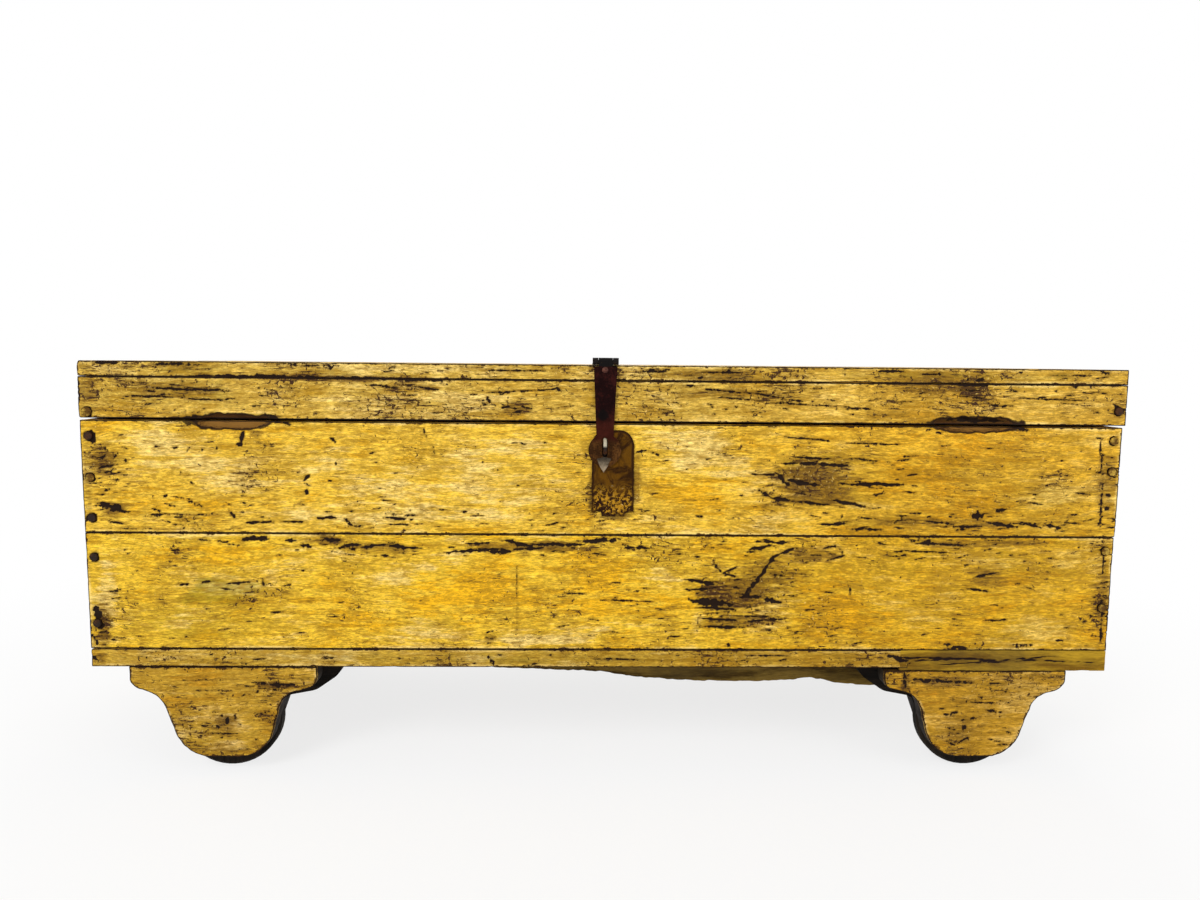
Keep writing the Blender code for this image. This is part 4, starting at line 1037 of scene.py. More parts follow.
# %% Build the paint group: bare edges, notches and cracks
chip = wires.noise(given["Vector"], 230.0, 5.0, 0.7)
wide = wires.noise(given["Vector"], 38.0, 3.0, 0.6)
limit = wires.times(given["Edge reach"], wires.ramp(wires.plus(chip, wide), 0.86, 1.3, 0.1, 2.8))
worn = wires.ramp(wires.minus(given["Edge"], limit), 0.0004, -0.0004)
notch = wires.plus(given["Notch"], wires.swing(chip, 0.22))
scooped = wires.ramp(notch, 0.49, 0.51)
rim = wires.times(wires.ramp(notch, 0.38, 0.44), wires.ramp(notch, 0.68, 0.56))
bare_floor = wires.mix(wires.ramp(wires.plus(fibre, streak), 0.84, 1.06), given["Wood"], given["Scoop"])
wood = wires.mix(wires.ramp(streak, 0.40, 0.62), given["Wood"], given["Umber"])
result = wires.mix(flecks.outputs["Mask"], shaded, given["Wood"])
result = wires.mix(worn, result, wood)
result = wires.mix(scooped, result, bare_floor)
loose = wires.times(wires.minus(chip, 0.5), wires.ramp(given["Crack"], 0.0, 0.3, 0.0, 1.1))
split = wires.plus(given["Crack"], loose)
result = wires.mix(wires.ramp(split, 0.05, 0.5, 0.0, 0.45), result, given["Umber"])
seam = wires.minus(given["Edge"], wires.times(chip, 0.0009))
gone = wires.most(wires.ramp(split, 0.44, 0.54), wires.ramp(seam, 0.0014, 0.0006))
gone = wires.most(gone, wires.times(rim, 0.9))
result = wires.mix(gone, result, given["Black"])
bare = wires.most(wires.most(worn, scooped), gone)
height = wires.minus(wires.times(streak, 0.5), wires.times(flecks.outputs["Mask"], 0.45))
height = wires.plus(height, wires.times(fibre, 0.3))
height = wires.minus(height, wires.times(bare, 0.5))
dull = wires.plus(wires.ramp(streak, 0.35, 0.65, 0.62, 0.46), wires.times(bare, 0.25), clamp=True)
finish_group(paint_group, Color=result, Roughness=dull, Height=height)
print("Old paint has", len(paint_group.nodes), "nodes")

# %% [markdown]
# ## Bare timber
# The inside, the battens, the repair, the bearer and the black feet show wood without paint. Its figure
# is a wave texture in rings, drawn out so far that they become the flames of a sawn board, with the
# grain group's streaks over them. A flat brown would look like plastic under a lamp that grazes it.

# %% Build the bare timber group
timber_group, wires, given = group(
    "Bare timber",
    {"Vector": NOWHERE, "Direction": ALONG_X, "Shift": 0.0, "Light": colour(0.36, 0.24, 0.1),
     "Dark": colour(0.16, 0.09, 0.03), "Grime": 0.3, "Crack": 0.0},
    {"Color": 4, "Roughness": 1, "Height": 1},
)
grain = wires.put(grain_group, {socket: given[socket] for socket in ("Vector", "Direction", "Shift")})
cloud, streak, fibre, moved, stretched, drawn = grain.outputs
wave = {"Vector": drawn, "Scale": 1.2, "Distortion": 7.0, "Detail": 3.0, "Detail Scale": 1.4}
rings = wires.add("ShaderNodeTexWave", wave, output=1, wave_type="RINGS")
figure = wires.plus(wires.times(rings, 0.2), streak)
result = wires.mix(wires.ramp(figure, 0.40, 0.76), given["Dark"], given["Light"])
result = wires.shade(result, wires.ramp(fibre, 0.34, 0.62, 0.7, 1.08))
grime = wires.times(wires.ramp(cloud, 0.42, 0.68), given["Grime"])
result = wires.mix(grime, result, colour(0.05, 0.032, 0.012))
splinter = wires.plus(wires.times(fibre, 0.3), given["Crack"])
result = wires.mix(wires.ramp(splinter, 0.56, 0.70), result, colour(0.010, 0.004, 0.003))
height = wires.plus(streak, wires.times(fibre, 0.5))
finish_group(timber_group, Color=result, Roughness=wires.ramp(streak, 0.3, 0.7, 0.86, 0.68), Height=height)
print("Bare timber has", len(timber_group.nodes), "nodes")


# %% [markdown]
# ## Painted materials
# Each painted surface places the group with its own grain direction and colours, and reads the marks
# that its board carries. The shader itself stays out here in the material. A board's inside was never
# painted, so the `coat` attribute fades from paint to bare wood there.

# %% Start a material and end it in one shader
def start_material(name):
    """A material with its wiring, its surface shader and the place on the piece."""
    material = bpy.data.materials.new(name)
    material.use_nodes = True
    wires = Wiring(material.node_tree)
    shader = material.node_tree.nodes["Principled BSDF"]
    place = wires.add("ShaderNodeTexCoord", output=3)
    return material, wires, shader, place


def end_material(wires, shader, base, roughness, height, bump=0.4, depth=0.0006, **plain):
    """Feeds the shader. Values that are the same all over sit on its own sockets."""
    wires.tree.links.new(base, shader.inputs["Base Color"])
    wires.tree.links.new(roughness, shader.inputs["Roughness"])
    relief = wires.add("ShaderNodeBump", {"Strength": bump, "Distance": depth, "Height": height})
    wires.tree.links.new(relief, shader.inputs["Normal"])
    for socket, value in plain.items():
        shader.inputs[socket.replace("_", " ")].default_value = value


def timber(name, direction, bump=0.5, depth=0.0007, **values):
    """A material of unpainted wood."""
    material, wires, shader, place = start_material(name)
    values |= {"Vector": place, "Direction": direction, "Crack": wires.mark("crack")}
    wood = wires.put(timber_group, values)
    end_material(wires, shader, *wood.outputs, bump, depth, Specular_IOR_Level=0.1)
    return material


inside_wood = timber("inside_wood", ALONG_X, Light=colour(0.34, 0.22, 0.1), Dark=colour(0.17, 0.1, 0.04))
print("Made", inside_wood.name)


# %% Paint a material
PAINT_MARKS = ("edge", "crack", "stain", "olive", "pale", "orange", "shadowed", "notch")
SHADE_OF_GRAIN = 0.45


def painted(name, direction, bare_and_shade=(0.36, 0.24, 0.11), **values):
    """A material of old paint that reads the marks on its board and is bare where it has no coat; on the feet
    that bare colour is near black, a painted shade.
    """
    material, wires, shader, place = start_material(name)
    marks = {mark.capitalize(): wires.mark(mark) for mark in PAINT_MARKS}
    values = {key.replace("_", " "): value for key, value in values.items()}
    spot = {"Vector": place, "Direction": direction}
    paint = wires.put(paint_group, spot | marks | values)
    browns = {"Light": colour(*bare_and_shade), "Dark": colour(*(SHADE_OF_GRAIN * part for part in bare_and_shade))}
    bare = wires.put(timber_group, spot | browns)
    coat = wires.mark("coat")
    base = wires.mix(coat, bare.outputs["Color"], paint.outputs["Color"])
    rough, high = (
        wires.add("ShaderNodeMix", {0: coat, 2: bare.outputs[output], 3: paint.outputs[output]})
        for output in ("Roughness", "Height")
    )
    end_material(wires, shader, base, rough, high, 0.45, 0.0009, Specular_IOR_Level=0.12)
    return material


print("Paint reads", len(PAINT_MARKS), "marks")

# %% Mix the paints
paint_upper = painted(
    "paint_upper_plank", ALONG_X, Shift=0.0, Flecks=0.45, Body=colour(0.86, 0.535, 0.048))
paint_lower = painted(
    "paint_lower_plank", ALONG_X, Shift=3.7, Flecks=0.5, Body=colour(0.87, 0.54, 0.034),
    Warm=colour(0.88, 0.47, 0.010))
# The lid's rail holds the upper half of each notch, which faces down: its darker Scoop colour is painted
# shade.
paint_lid = painted(
    "paint_lid", ALONG_X, Shift=7.1, Flecks=0.7, Scoop=colour(0.075, 0.030, 0.006),
    Body=colour(0.73, 0.475, 0.075), Warm=colour(0.60, 0.34, 0.025))
paint_top = painted("paint_lid_top", ALONG_X, Shift=9.4, Flecks=0.5, Body=colour(0.76, 0.47, 0.045))
paint_plinth = painted(
    "paint_plinth", ALONG_X, Shift=5.2, Flecks=0.6, Body=colour(0.61, 0.375, 0.04),
    Light=colour(0.74, 0.52, 0.15), Warm=colour(0.50, 0.27, 0.015))
# Painted shade: the feet's sawn sides get a near-black bare colour, and a wide worn rim darkens their
# outline.
paint_foot = painted(
    "paint_foot", ALONG_X, (0.02, 0.014, 0.010), Shift=11.8, Flecks=0.7, Edge_reach=0.0022,
    Body=colour(0.58, 0.345, 0.032), Light=colour(0.76, 0.52, 0.16), Warm=colour(0.54, 0.27, 0.012))
paint_side = painted("paint_side", ALONG_Y, Shift=2.3, Flecks=0.5, Body=colour(0.76, 0.47, 0.042))
paint_back = painted("paint_back", ALONG_X, Shift=6.6, Flecks=0.45, Body=colour(0.76, 0.47, 0.042))
print("Eight coats of paint are mixed")

# %% [markdown]
# ## The front
# Two planks, the lid's front rail, the edge of the lid's board and the edge of the floor board make
# up what the photograph shows. They get the finest grids, with rows 1.5 mm apart, so that even a thin
# crack is a real trench that catches a shadow from any side.

# %% Replace the front planks and the lid's front
FINE_STEP, FINE_ROW = 0.0035, 0.0015
front_pieces = [
    worn_board("front_plank_upper", "front", paint_upper, FINE_STEP, FINE_ROW, (0.0006, 0.0032), seed=3),
    worn_board("front_plank_lower", "front", paint_lower, FINE_STEP, FINE_ROW, (0.0006, 0.0032), seed=8),
    worn_board("lid_rail_front", "front", paint_lid, FINE_STEP, FINE_ROW, (0.0006, 0.0030), seed=14),
    worn_board("lid_board_front", "front", paint_lid, FINE_STEP, FINE_ROW, (0.0010, 0.0065), seed=19),
    worn_board("floor_board_front", "front", paint_plinth, FINE_STEP, FINE_ROW, (0.0008, 0.0045), seed=23),
]
print("The front has", sum(len(piece.data.vertices) for piece in front_pieces), "points")

# %% [markdown]
# ## The other boards
# The sides, the back and the lid's top aren't seen in the photograph. They belong to the same chest, so
# they get the same paint and the same kind of wear, on coarser grids.

# %% Replace the boards at the sides, the back and the top
SIDE_STEP, SIDE_ROW = 0.007, 0.004
for name in ("left_end_upper", "left_end_lower", "lid_rail_left"):
    worn_board(name, "left", paint_side, SIDE_STEP, SIDE_ROW, (0.0006, 0.003), seed=len(name))
for name in ("right_end_upper", "right_end_lower", "lid_rail_right"):
    worn_board(name, "right", paint_side, SIDE_STEP, SIDE_ROW, (0.0006, 0.003), seed=len(name) + 3)
for name in ("back_plank_upper", "back_plank_lower", "lid_rail_back", "floor_board_back"):
    worn_board(name, "back", paint_back, SIDE_STEP, SIDE_ROW, (0.0006, 0.003), seed=len(name) + 6)
for name in ("lid_board_middle", "lid_board_back"):
    worn_board(name, "top", paint_top, SIDE_STEP, SIDE_ROW, (0.0008, 0.005), seed=len(name) + 9)
worn_board("floor_board_middle", "top", paint_plinth, SIDE_STEP, SIDE_ROW, (0.0008, 0.003), seed=30)
for name in ("lid_batten_left", "lid_batten_right"):
    worn_board(name, "top", inside_wood, wear=(0.0008, 0.003), slot_name="bare_wood", seed=len(name) + 12)

# %% [markdown]
# ## The repair
# At the right end of the floor board a new piece was let in and never painted. It is olive-brown bare
# wood with a few slanting cracks.

# %% Replace the let-in piece
repair_wood = timber(
    "repair_wood", ALONG_X, 0.6, 0.001, Light=colour(0.42, 0.25, 0.014), Dark=colour(0.17, 0.085, 0.005),
    Shift=1.9, Grime=0.5)
repair = "floor_board_front_repair"
worn_board(repair, "front", repair_wood, 0.006, 0.002, (0.0010, 0.0045), slot_name="bare_wood", seed=31)

# %% [markdown]
# ## Feet, bearer and wheels
# Each foot is a pair of shaped cheeks with a wooden wheel between them. The outer cheek is painted like
# the planks, and its sawn sides are near black as painted shade. The inner one and the wheel are dark
# old wood, made near black also as painted shade of the space behind the outer cheek. A rough split
# plank shows under the chest between the front feet. The wheels keep the model's turned shape, because
# a turned thing is already right: they only need the look of dark old wood in that painted shade.

# %% Replace the feet and the bearer
for corner in ("front_left", "front_right"):
    worn_slab(f"cheek_outer_{corner}", paint_foot, "front", 0.003, (0.0008, 0.0035), 0.0012)
for corner in ("back_left", "back_right"):
    worn_slab(f"cheek_outer_{corner}", paint_foot, "back", 0.006, (0.0008, 0.0035), 0.0012)
bearer_wood = timber(
    "bearer_wood", ALONG_X, 0.8, 0.0015, Light=colour(0.235, 0.15, 0.030), Dark=colour(0.060, 0.033, 0.005),
    Shift=4.4, Grime=0.6)
worn_slab("bearer_plank", bearer_wood, "front", 0.004, (0.001, 0.005), 0.002, "bare_wood", wave=3.0)
print("Five slabs are sawn")

# %% Blacken the wheels and the inner cheeks, partly as painted shade
# Near black: dark old wood and painted shade of the space behind the outer cheeks.
shaded_black_wood = timber(
    "shaded_black_wood", ALONG_X, 0.5, 0.0008, Light=colour(0.018, 0.013, 0.010), Dark=colour(0.005, 0.004, 0.003),
    Grime=0.0)
shaded_wheel_wood = timber(
    "shaded_wheel_wood", ALONG_Z, 0.6, 0.0008, Light=colour(0.022, 0.016, 0.011), Dark=colour(0.006, 0.005, 0.004),
    Grime=0.0)


def dress(node, material, bevel=0.0):
    """Gives a piece of the model a better material and, if asked, softer edges."""
    thing = frame["nodes"][node]
    thing.data.materials.clear()
    thing.data.materials.append(material)
    if bevel:
        soft = thing.modifiers.new("Softened edges", "BEVEL")
        soft.width, soft.segments, soft.limit_method = bevel, 2, "ANGLE"
        soft.harden_normals = True


for end in ("front", "back"):
    for side in ("left", "right"):
        dress(f"cheek_inner_{end}_{side}", shaded_black_wood)
        dress(f"wheel_{end}_{side}", shaded_wheel_wood)
print("Four wheels and four inner cheeks are black")

# %% [markdown]
# ## Old iron
# The hasp and its fittings were forged from thin iron. Iron that has been handled for decades is dark
# maroon-brown, smooth on top and rusty in the pores. The group mixes a dark skin with rust where a
# noise says so, and makes the rust rougher and higher.

# %% Build the iron group
iron_group, wires, given = group(
    "Old iron",
    {"Vector": NOWHERE, "Skin": colour(0.016, 0.006, 0.005), "Rust": colour(0.07, 0.022, 0.008),
     "Amount": 0.5, "Shine": 0.42},
    {"Color": 4, "Roughness": 1, "Height": 1},
)
broad = wires.noise(given["Vector"], 55.0, 5.0, 0.65)
pores = wires.noise(given["Vector"], 420.0, 5.0, 0.7)
rusty = wires.plus(wires.swing(broad, 1.6), wires.times(pores, 0.5))
rusty = wires.ramp(wires.plus(rusty, wires.times(given["Amount"], 0.3)), 0.32, 0.62)
result = wires.mix(rusty, given["Skin"], given["Rust"])
result = wires.shade(result, wires.ramp(pores, 0.3, 0.7, 0.65, 1.25))
rough = wires.plus(given["Shine"], wires.times(rusty, 0.3), clamp=True)
finish_group(iron_group, Color=result, Roughness=rough, Height=wires.plus(wires.times(rusty, 0.6), pores))

IRON_BUMP, IRON_RELIEF = 0.35, 0.0004


def iron(name, gloss=0.12, **values):
    """A material of old iron."""
    material, wires, shader, place = start_material(name)
    metal = wires.put(iron_group, {"Vector": place, **values})
    end_material(wires, shader, *metal.outputs, IRON_BUMP, IRON_RELIEF, Specular_IOR_Level=gloss)
    return material


nail_iron = iron("nail_iron", Skin=colour(0.02, 0.012, 0.008), Rust=colour(0.06, 0.025, 0.01), Shine=0.6)
hinge_iron = iron(
    "hinge_iron", Skin=colour(0.028, 0.02, 0.016), Rust=colour(0.10, 0.04, 0.015), Amount=0.8, Shine=0.5)
knuckle_iron = iron(
    "knuckle_iron", 0.06, Skin=colour(0.009, 0.007, 0.007), Rust=colour(0.03, 0.012, 0.008),
    Amount=0.2, Shine=0.35)
print("Old iron has", len(iron_group.nodes), "nodes")

# %% [markdown]
# ## The hasp
# The strap is maroon-black above, its disc is olive-brown, and the tip below it is worn to bright metal
# at its end by many hands; its colour is darker at its top and brightens towards its end, worn metal and
# a painted highlight together. The strap swings with the hasp, so its colours are placed by height on
# the piece itself, and turn with it.

# %% Colour the strap
strap_low, strap_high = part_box("hasp_strap")
strap_paint, wires, shader, place = start_material("strap_iron")
height_on = wires.height_of(place)
uneven = wires.swing(wires.noise(place, 160.0, 3.0), 0.006)
height_on = wires.plus(height_on, uneven)
slot_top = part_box("staple")[1].z
maroon = {"Skin": colour(0.0075, 0.0014, 0.0014), "Rust": colour(0.026, 0.005, 0.004), "Shine": 0.38}
olive_brown = {"Skin": colour(0.032, 0.012, 0.003), "Rust": colour(0.085, 0.034, 0.008), "Shine": 0.4}
dark = wires.put(iron_group, {"Vector": place, **maroon})
brown = wires.put(iron_group, {"Vector": place, **olive_brown})
disc = wires.ramp(height_on, slot_top + 0.002, slot_top - 0.010)
reddish = wires.ramp(height_on, slot_top + 0.040, slot_top + 0.012)
skin = wires.mix(wires.times(reddish, 0.4), dark.outputs["Color"], colour(0.06, 0.011, 0.005))
skin = wires.mix(disc, skin, brown.outputs["Color"])
patch_x, patch_z = from_photo(603, 415)
from_patch = wires.plus(wires.distance(place, (patch_x, strap_low.y, patch_z)), uneven)
skin = wires.mix(wires.ramp(from_patch, 0.0095, 0.006, 0.0, 0.9), skin, colour(0.003, 0.002, 0.002))
knuckle_z = lid_top_z - 0.002
on_knuckle = wires.ramp(height_on, knuckle_z - 0.001, knuckle_z + 0.001)
skin = wires.mix(on_knuckle, skin, colour(0.006, 0.005, 0.005))
end_material(wires, shader, skin, *dark.outputs[1:], IRON_BUMP, IRON_RELIEF, Specular_IOR_Level=0.035)
dress("hasp_strap", strap_paint, 0.0008)
print("The strap hangs from", round(strap_high.z, 3), "to", round(strap_low.z, 3), "m")


# %% Turn small round things
def lathe(name, profile, centre, axis, body, slot_name, material, sides=28):
    """Turns (radius, along) points about an axis into a closed piece."""
    turn = Vector(axis).to_track_quat("Z", "Y").to_matrix()
    points, faces = [], []
    for radius, along in profile:
        for k in range(sides):
            angle = 2 * math.pi * k / sides
            spoke = Vector((radius * math.cos(angle), radius * math.sin(angle), along))
            points.append(Vector(centre) + turn @ spoke)
    for row in range(len(profile) - 1):
        for k in range(sides):
            a, b = row * sides + k, row * sides + (k + 1) % sides
            faces.append((a, b, b + sides, a + sides))
    faces += [tuple(range(sides))[::-1], tuple(range(len(points) - sides, len(points)))]
    return show(name, points, faces, body, slot_name, material, sharp=35)


RIVET = ((0.0044, 0.0), (0.0044, 0.0004), (0.0040, 0.0010), (0.0028, 0.0015), (0.0012, 0.0017))
rivet_iron = iron("rivet_iron", Skin=colour(0.065, 0.020, 0.014), Rust=colour(0.14, 0.055, 0.035), Shine=0.3)
rivet_x, rivet_z = from_photo(605, 370)
rivet_at = (rivet_x, strap_low.y + 0.0001, rivet_z)
lathe("hasp_rivet", RIVET, rivet_at, (0, -1, 0), "hasp", "old_iron", rivet_iron)
print("The rivet sits at", round(rivet_x, 4), round(rivet_z, 4))

# %% Forge the bright tip
tip_top_z, tip_end_z = from_photo(604, 457)[1], from_photo(604, 471)[1]
tip_metal, wires, shader, place = start_material("tip_metal")
height_on = wires.height_of(place)
steel = {"Skin": colour(0.26, 0.20, 0.13), "Rust": colour(0.05, 0.03, 0.015), "Shine": 0.3}
metal = wires.put(iron_group, {"Vector": place, **steel})
# Worn metal and painted highlight: the tip is darker at its top and brighter towards its end.
tip_wear_and_highlight = wires.shade(metal.outputs["Color"], wires.ramp(height_on, tip_top_z, tip_end_z, 0.18, 1.2))
end_material(wires, shader, tip_wear_and_highlight, *metal.outputs[1:], IRON_BUMP, IRON_RELIEF, Specular_IOR_Level=0.08)
tip_corners = [(596.4, 458.4), (604, 456.4), (611.4, 458.0), (608.0, 465.5), (603.4, 472.6), (599.6, 466)]
tip_rim = np.array([from_photo(*corner) for corner in tip_corners])
tip_middle = np.array(from_photo(603.8, 462.5))
TIP_RISE, TIP_RIM_RISE = 0.0022, 0.0008
tip_points = [(x, strap_low.y + 0.0002, z) for x, z in tip_rim]
tip_points += [(x, strap_low.y - TIP_RIM_RISE, z) for x, z in tip_middle + (tip_rim - tip_middle) * 0.93]
tip_points += [(tip_middle[0], strap_low.y - TIP_RISE, tip_middle[1])]
count = len(tip_rim)
tip_faces = [(i, i + count, (i + 1) % count + count, (i + 1) % count) for i in range(count)]
tip_faces += [(i + count, 2 * count, (i + 1) % count + count) for i in range(count)] + [tuple(range(count))]
hasp_tip = show("hasp_tip", tip_points, tip_faces, "hasp", "old_iron", tip_metal, sharp=20)
soft = hasp_tip.modifiers.new("Softened edges", "BEVEL")
soft.width, soft.segments, soft.limit_method = 0.0004, 2, "ANGLE"
print("The tip rises", TIP_RISE * 1000, "mm from the strap")

# %% [markdown]
# ## Nails in the hinges
# Each leaf of the hinges, and the hasp's leaf on the lid, is held by hand-made nails with domed heads. A
# head is turned on the same lathe as the rivet. Where a leaf's flat lies is read from the model: its
# outermost points at the end that has no knuckle.

# %% Nail the leaves down
HEAD = ((0.0046, -0.0002), (0.0046, 0.0003), (0.0041, 0.0011), (0.0028, 0.0018), (0.0010, 0.0021))
leaf_nails = {"chest": (0.016, 0.055), "lid": (-0.016,)}  # up from the leaf's end, or down from it
LEAF_NAIL_ASIDE = 0.017
nail_heads = {}
for side in ("left", "right"):
    for leaf, rises in leaf_nails.items():
        node = f"hinge_{leaf}_leaf_{side}"
        low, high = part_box(node)
        for rise in rises:
            z = low.z + rise if rise > 0 else high.z + rise
            for turn in (-1, 1):
                name = f"{leaf}_leaf_nail_{side}_{len(nail_heads) + 1}"
                nail_heads[name] = (node, (low.x + high.x) / 2 + turn * LEAF_NAIL_ASIDE, z)
for name, (node, x, z) in nail_heads.items():
    spots = [v.co for v in frame["nodes"][node].data.vertices]
    flat_end = (min if "chest" in node else max)(spot.z for spot in spots)
    face_y = max(spot.y for spot in spots if abs(spot.z - flat_end) < 0.001)
    lathe(name, HEAD, (x, face_y, z), (0, 1, 0), body_of[node], "old_iron", hinge_iron, 20)
low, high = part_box("hasp_leaf")
spots = [v.co for v in frame["nodes"]["hasp_leaf"].data.vertices]
face_z = max(spot.z for spot in spots if spot.y > high.y - 0.001)
HASP_NAIL_ASIDE, HASP_NAIL_INSET = 0.009, 0.013
for turn in (-1, 1):
    at = ((low.x + high.x) / 2 + turn * HASP_NAIL_ASIDE, high.y - HASP_NAIL_INSET, face_z)
    lathe(f"hasp_leaf_nail_{turn + 2}", HEAD, at, (0, 0, 1), body_of["hasp_leaf"], "old_iron", hinge_iron, 20)
print(len(nail_heads) + 2, "nails hold the leaves")

# %% [markdown]
# ## The plate behind the hasp
# The plate was painted over with the planks and then glazed brown. Its top is smooth, and at the bottom
# the paint has broken into pale crumbs and dark pits. It is a thin slab with a ragged lower end.

# %% Glaze and cut the plate
plate_low, plate_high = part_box("staple_plate")
plate_paint, wires, shader, place = start_material("plate_glaze")
height_on = wires.height_of(place)
swirl = wires.noise(place, 42.0, 5.0, 0.6, 1.2)
fine = wires.noise(place, 150.0, 5.0, 0.7, 0.8)
level_on = wires.plus(height_on, wires.swing(swirl, 0.035))
glaze = wires.mix(wires.ramp(swirl, 0.38, 0.60), colour(0.024, 0.008, 0.001), colour(0.105, 0.043, 0.002))
low_paint = wires.mix(wires.ramp(fine, 0.46, 0.56), colour(0.05, 0.018, 0.002), colour(0.40, 0.20, 0.012))
low_paint = wires.mix(wires.ramp(fine, 0.64, 0.69), low_paint, colour(0.85, 0.66, 0.34))
low_paint = wires.mix(wires.ramp(fine, 0.51, 0.48), low_paint, colour(0.018, 0.006, 0.003))
CRUMBS_START, CRUMBS_FULL = 0.052, 0.022  # heights above the plate's lower end
crumbled = wires.ramp(level_on, plate_low.z + CRUMBS_START, plate_low.z + CRUMBS_FULL)
base = wires.mix(crumbled, glaze, low_paint)
# Painted shadow along the plate's rim: it darkens within a few millimetres of its outline.
rim_painted_shadow = wires.minus(wires.mark("edge"), wires.times(swirl, 0.006))
base = wires.mix(wires.ramp(rim_painted_shadow, 0.0015, -0.001, 0.0, 0.9), base, colour(0.020, 0.007, 0.002))
# Painted shadow: the plate turns near black round the hasp's slot, behind the strap's disc.
slot_shadow_x, slot_shadow_z = from_photo(604, 451)
from_slot = wires.distance(place, (slot_shadow_x, plate_low.y, slot_shadow_z))
base = wires.mix(wires.ramp(from_slot, 0.016, 0.010), base, colour(0.006, 0.003, 0.002))
rough, relief = wires.ramp(fine, 0.4, 0.7, 0.34, 0.55), wires.plus(swirl, fine)
end_material(wires, shader, base, rough, relief, 0.8, 0.0015, Specular_IOR_Level=0.04)
plate_rim = even_outline(outline_of("staple_plate"), 0.0015)
PLATE_BITE, BITE_REACH = 0.007, 0.015
bites = PLATE_BITE * fade(soft_noise(plate_rim[:, 0] * 150, plate_rim[:, 0] * 0, 3), 0.35, 0.8)
plate_rim[:, 1] += bites * np.clip(1 - (plate_rim[:, 1] - plate_low.z) / BITE_REACH, 0, 1)
worn_slab("staple_plate", plate_paint, "front", 0.0018, (0.0003, 0.0008), 0.0012, "old_iron", plate_rim, 0.4)
print("The plate is", round(plate_high.z - plate_low.z, 3), "m tall")

# %% Dress the small iron
painted_nail = iron(
    "painted_nail", Skin=colour(0.56, 0.36, 0.05), Rust=colour(0.10, 0.045, 0.006), Amount=0.9, Shine=0.5)
for node in frame["nodes"]:
    if node.startswith(("nail_right", "lid_screw", "nail_left_upper_2")):
        dress(node, painted_nail, 0.0003)
    elif node.startswith(("nail_left", "lid_nail")):
        dress(node, nail_iron, 0.0003)
    if node.startswith("hinge_"):
        dress(node, hinge_iron, 0.0004)
    if node.startswith("axle_"):
        dress(node, hinge_iron)
dress("hasp_leaf", knuckle_iron, 0.0010)
dress("hasp_pin", knuckle_iron, 0.0003)
staple_iron, wires, shader, place = start_material("staple_iron")
metal = wires.put(iron_group, {"Vector": place, "Skin": colour(0.012, 0.009, 0.007), "Shine": 0.35})
# Worn metal and painted highlight: the staple's top is bright.
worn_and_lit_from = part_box("staple")[1].z - 0.013
rubbed = wires.ramp(wires.height_of(place), worn_and_lit_from, worn_and_lit_from + 0.004)
worn_and_highlit = wires.mix(rubbed, metal.outputs["Color"], colour(0.42, 0.38, 0.28))
end_material(wires, shader, worn_and_highlit, *metal.outputs[1:], IRON_BUMP, IRON_RELIEF, Specular_IOR_Level=0.12)
dress("staple", staple_iron)
print("The iron is dressed")

# %% [markdown]
# ## Floor and light
# The photograph stands on plain white. A pale floor keeps the chest's shadow, and glows softly for the
# camera alone, so that it ends in white. Light Path tells the two apart: the world and the floor look
# white when they are seen, yet lend the chest little light beside its three large lamps.

# %% Tell what is seen from what gives light
def seen_directly(wires):
    """1 for what the camera sees, in metal and glass too, and 0 for light on its way to the chest."""
    rays = wires.add("ShaderNodeLightPath").node.outputs
    return wires.most(wires.most(rays["Is Camera Ray"], rays["Is Glossy Ray"]), rays["Is Transmission Ray"])


print("Floor and world share one rule for what is seen")

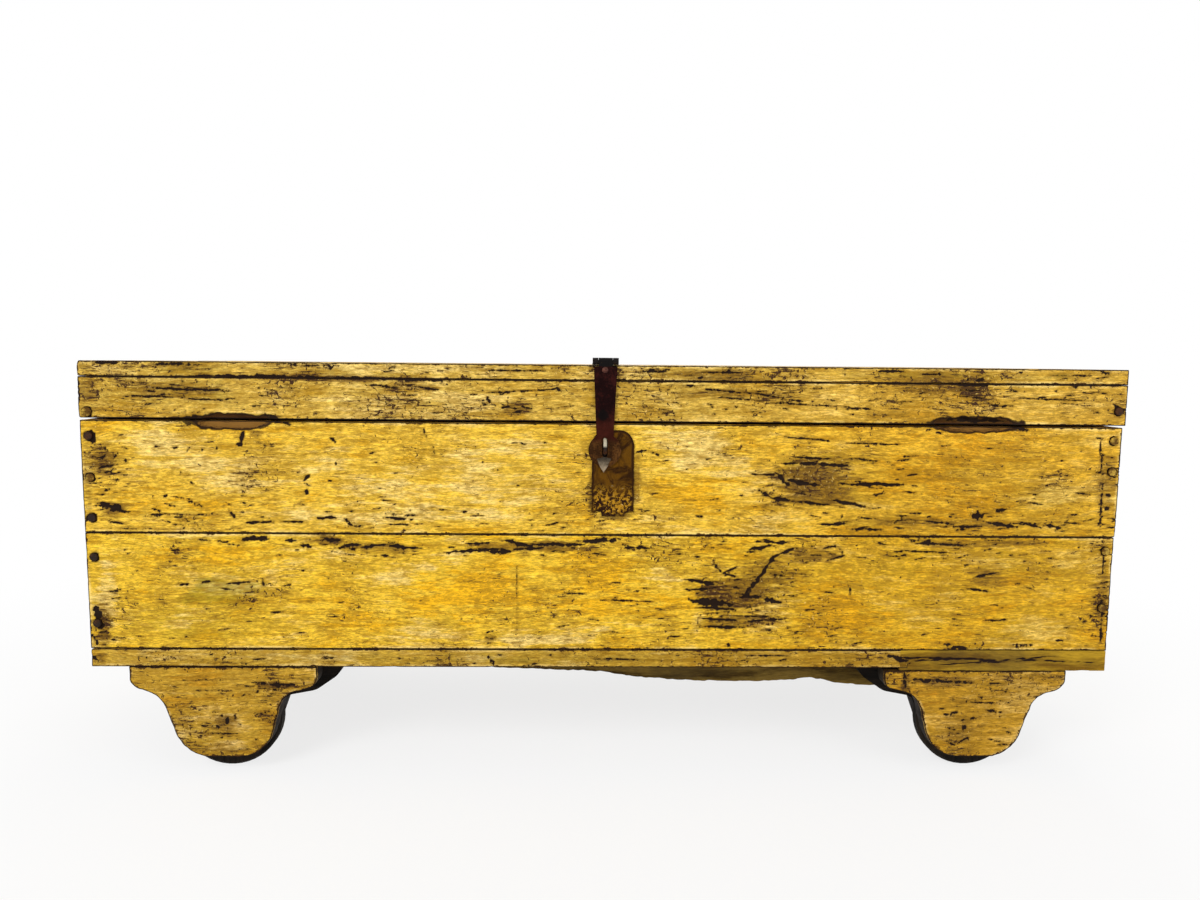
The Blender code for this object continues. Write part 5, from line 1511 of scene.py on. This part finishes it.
# %% Lay the floor
FLOOR_HALF = 30
SHADOW_REACH = 0.5, 1.8
floor_paint, wires, shader, place = start_material("studio_floor")
speck = wires.noise(place, 3.0, 2.0)
tint = wires.mix(speck, colour(0.90, 0.90, 0.90), colour(0.92, 0.92, 0.92))
rough = wires.ramp(speck, 0.3, 0.7, 0.85, 0.95)
end_material(wires, shader, tint, rough, speck, 0.02, 0.0002, Specular_IOR_Level=0.1)
seen = seen_directly(wires)
away = wires.add("ShaderNodeVectorMath", {0: place}, 1, operation="LENGTH")
glow = wires.add("ShaderNodeEmission", {"Color": colour(1, 1, 1), "Strength": 1.0})
share = wires.times(seen, wires.ramp(away, *SHADOW_REACH, 0.78, 1.0))
white = wires.add("ShaderNodeMixShader", {0: share, 1: shader.outputs[0], 2: glow})
wires.tree.links.new(white, wires.tree.nodes["Material Output"].inputs["Surface"])
floor_mesh = bpy.data.meshes.new("studio_floor")
floor_corners = [(FLOOR_HALF * x, FLOOR_HALF * y, 0) for x, y in ((-1, -1), (1, -1), (1, 1), (-1, 1))]
floor_mesh.from_pydata(floor_corners, [], [(0, 1, 2, 3)])
floor_mesh.materials.append(floor_paint)
studio_floor = into_scene("studio_floor", floor_mesh)
studio_floor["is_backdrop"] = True
print("The floor is", 2 * FLOOR_HALF, "m wide")


# %% Set the lamps and the world
def soft_light(name, at, toward, size, power):
    """A large square lamp aimed at a point."""
    lamp = bpy.data.lights.new(name, "AREA")
    lamp.size, lamp.energy = size, power
    light = into_scene(name, lamp)
    turn = (Vector(at) - Vector(toward)).to_track_quat("Z", "Y").to_matrix().to_4x4()
    light.matrix_world = Matrix.Translation(at) @ turn


middle = (0, 0, 0.35)
soft_light("key", (-1.8, -3.2, 2.6), middle, 1.6, 95)
soft_light("fill", (2.6, -2.4, 1.4), middle, 2.0, 40)
soft_light("rim", (0.5, 3.0, 2.6), middle, 2.0, 50)
world = bpy.data.worlds.new("studio")
world.use_nodes = True
bpy.context.scene.world = world
wires = Wiring(world.node_tree)
seen = seen_directly(wires)
strength = wires.add("ShaderNodeMix", {0: seen, 2: 0.45, 3: 1.0})
backdrop = world.node_tree.nodes["Background"]
backdrop.inputs["Color"].default_value = colour(1, 1, 1)
wires.tree.links.new(strength, backdrop.inputs["Strength"])
bpy.context.scene.view_settings.view_transform = "Standard"
print("Three lamps and a pale world light the chest")

# %% Print the dressed sizes and finish
low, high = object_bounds()
print("The dressed chest measures", [round(v, 3) for v in high - low], "metres")
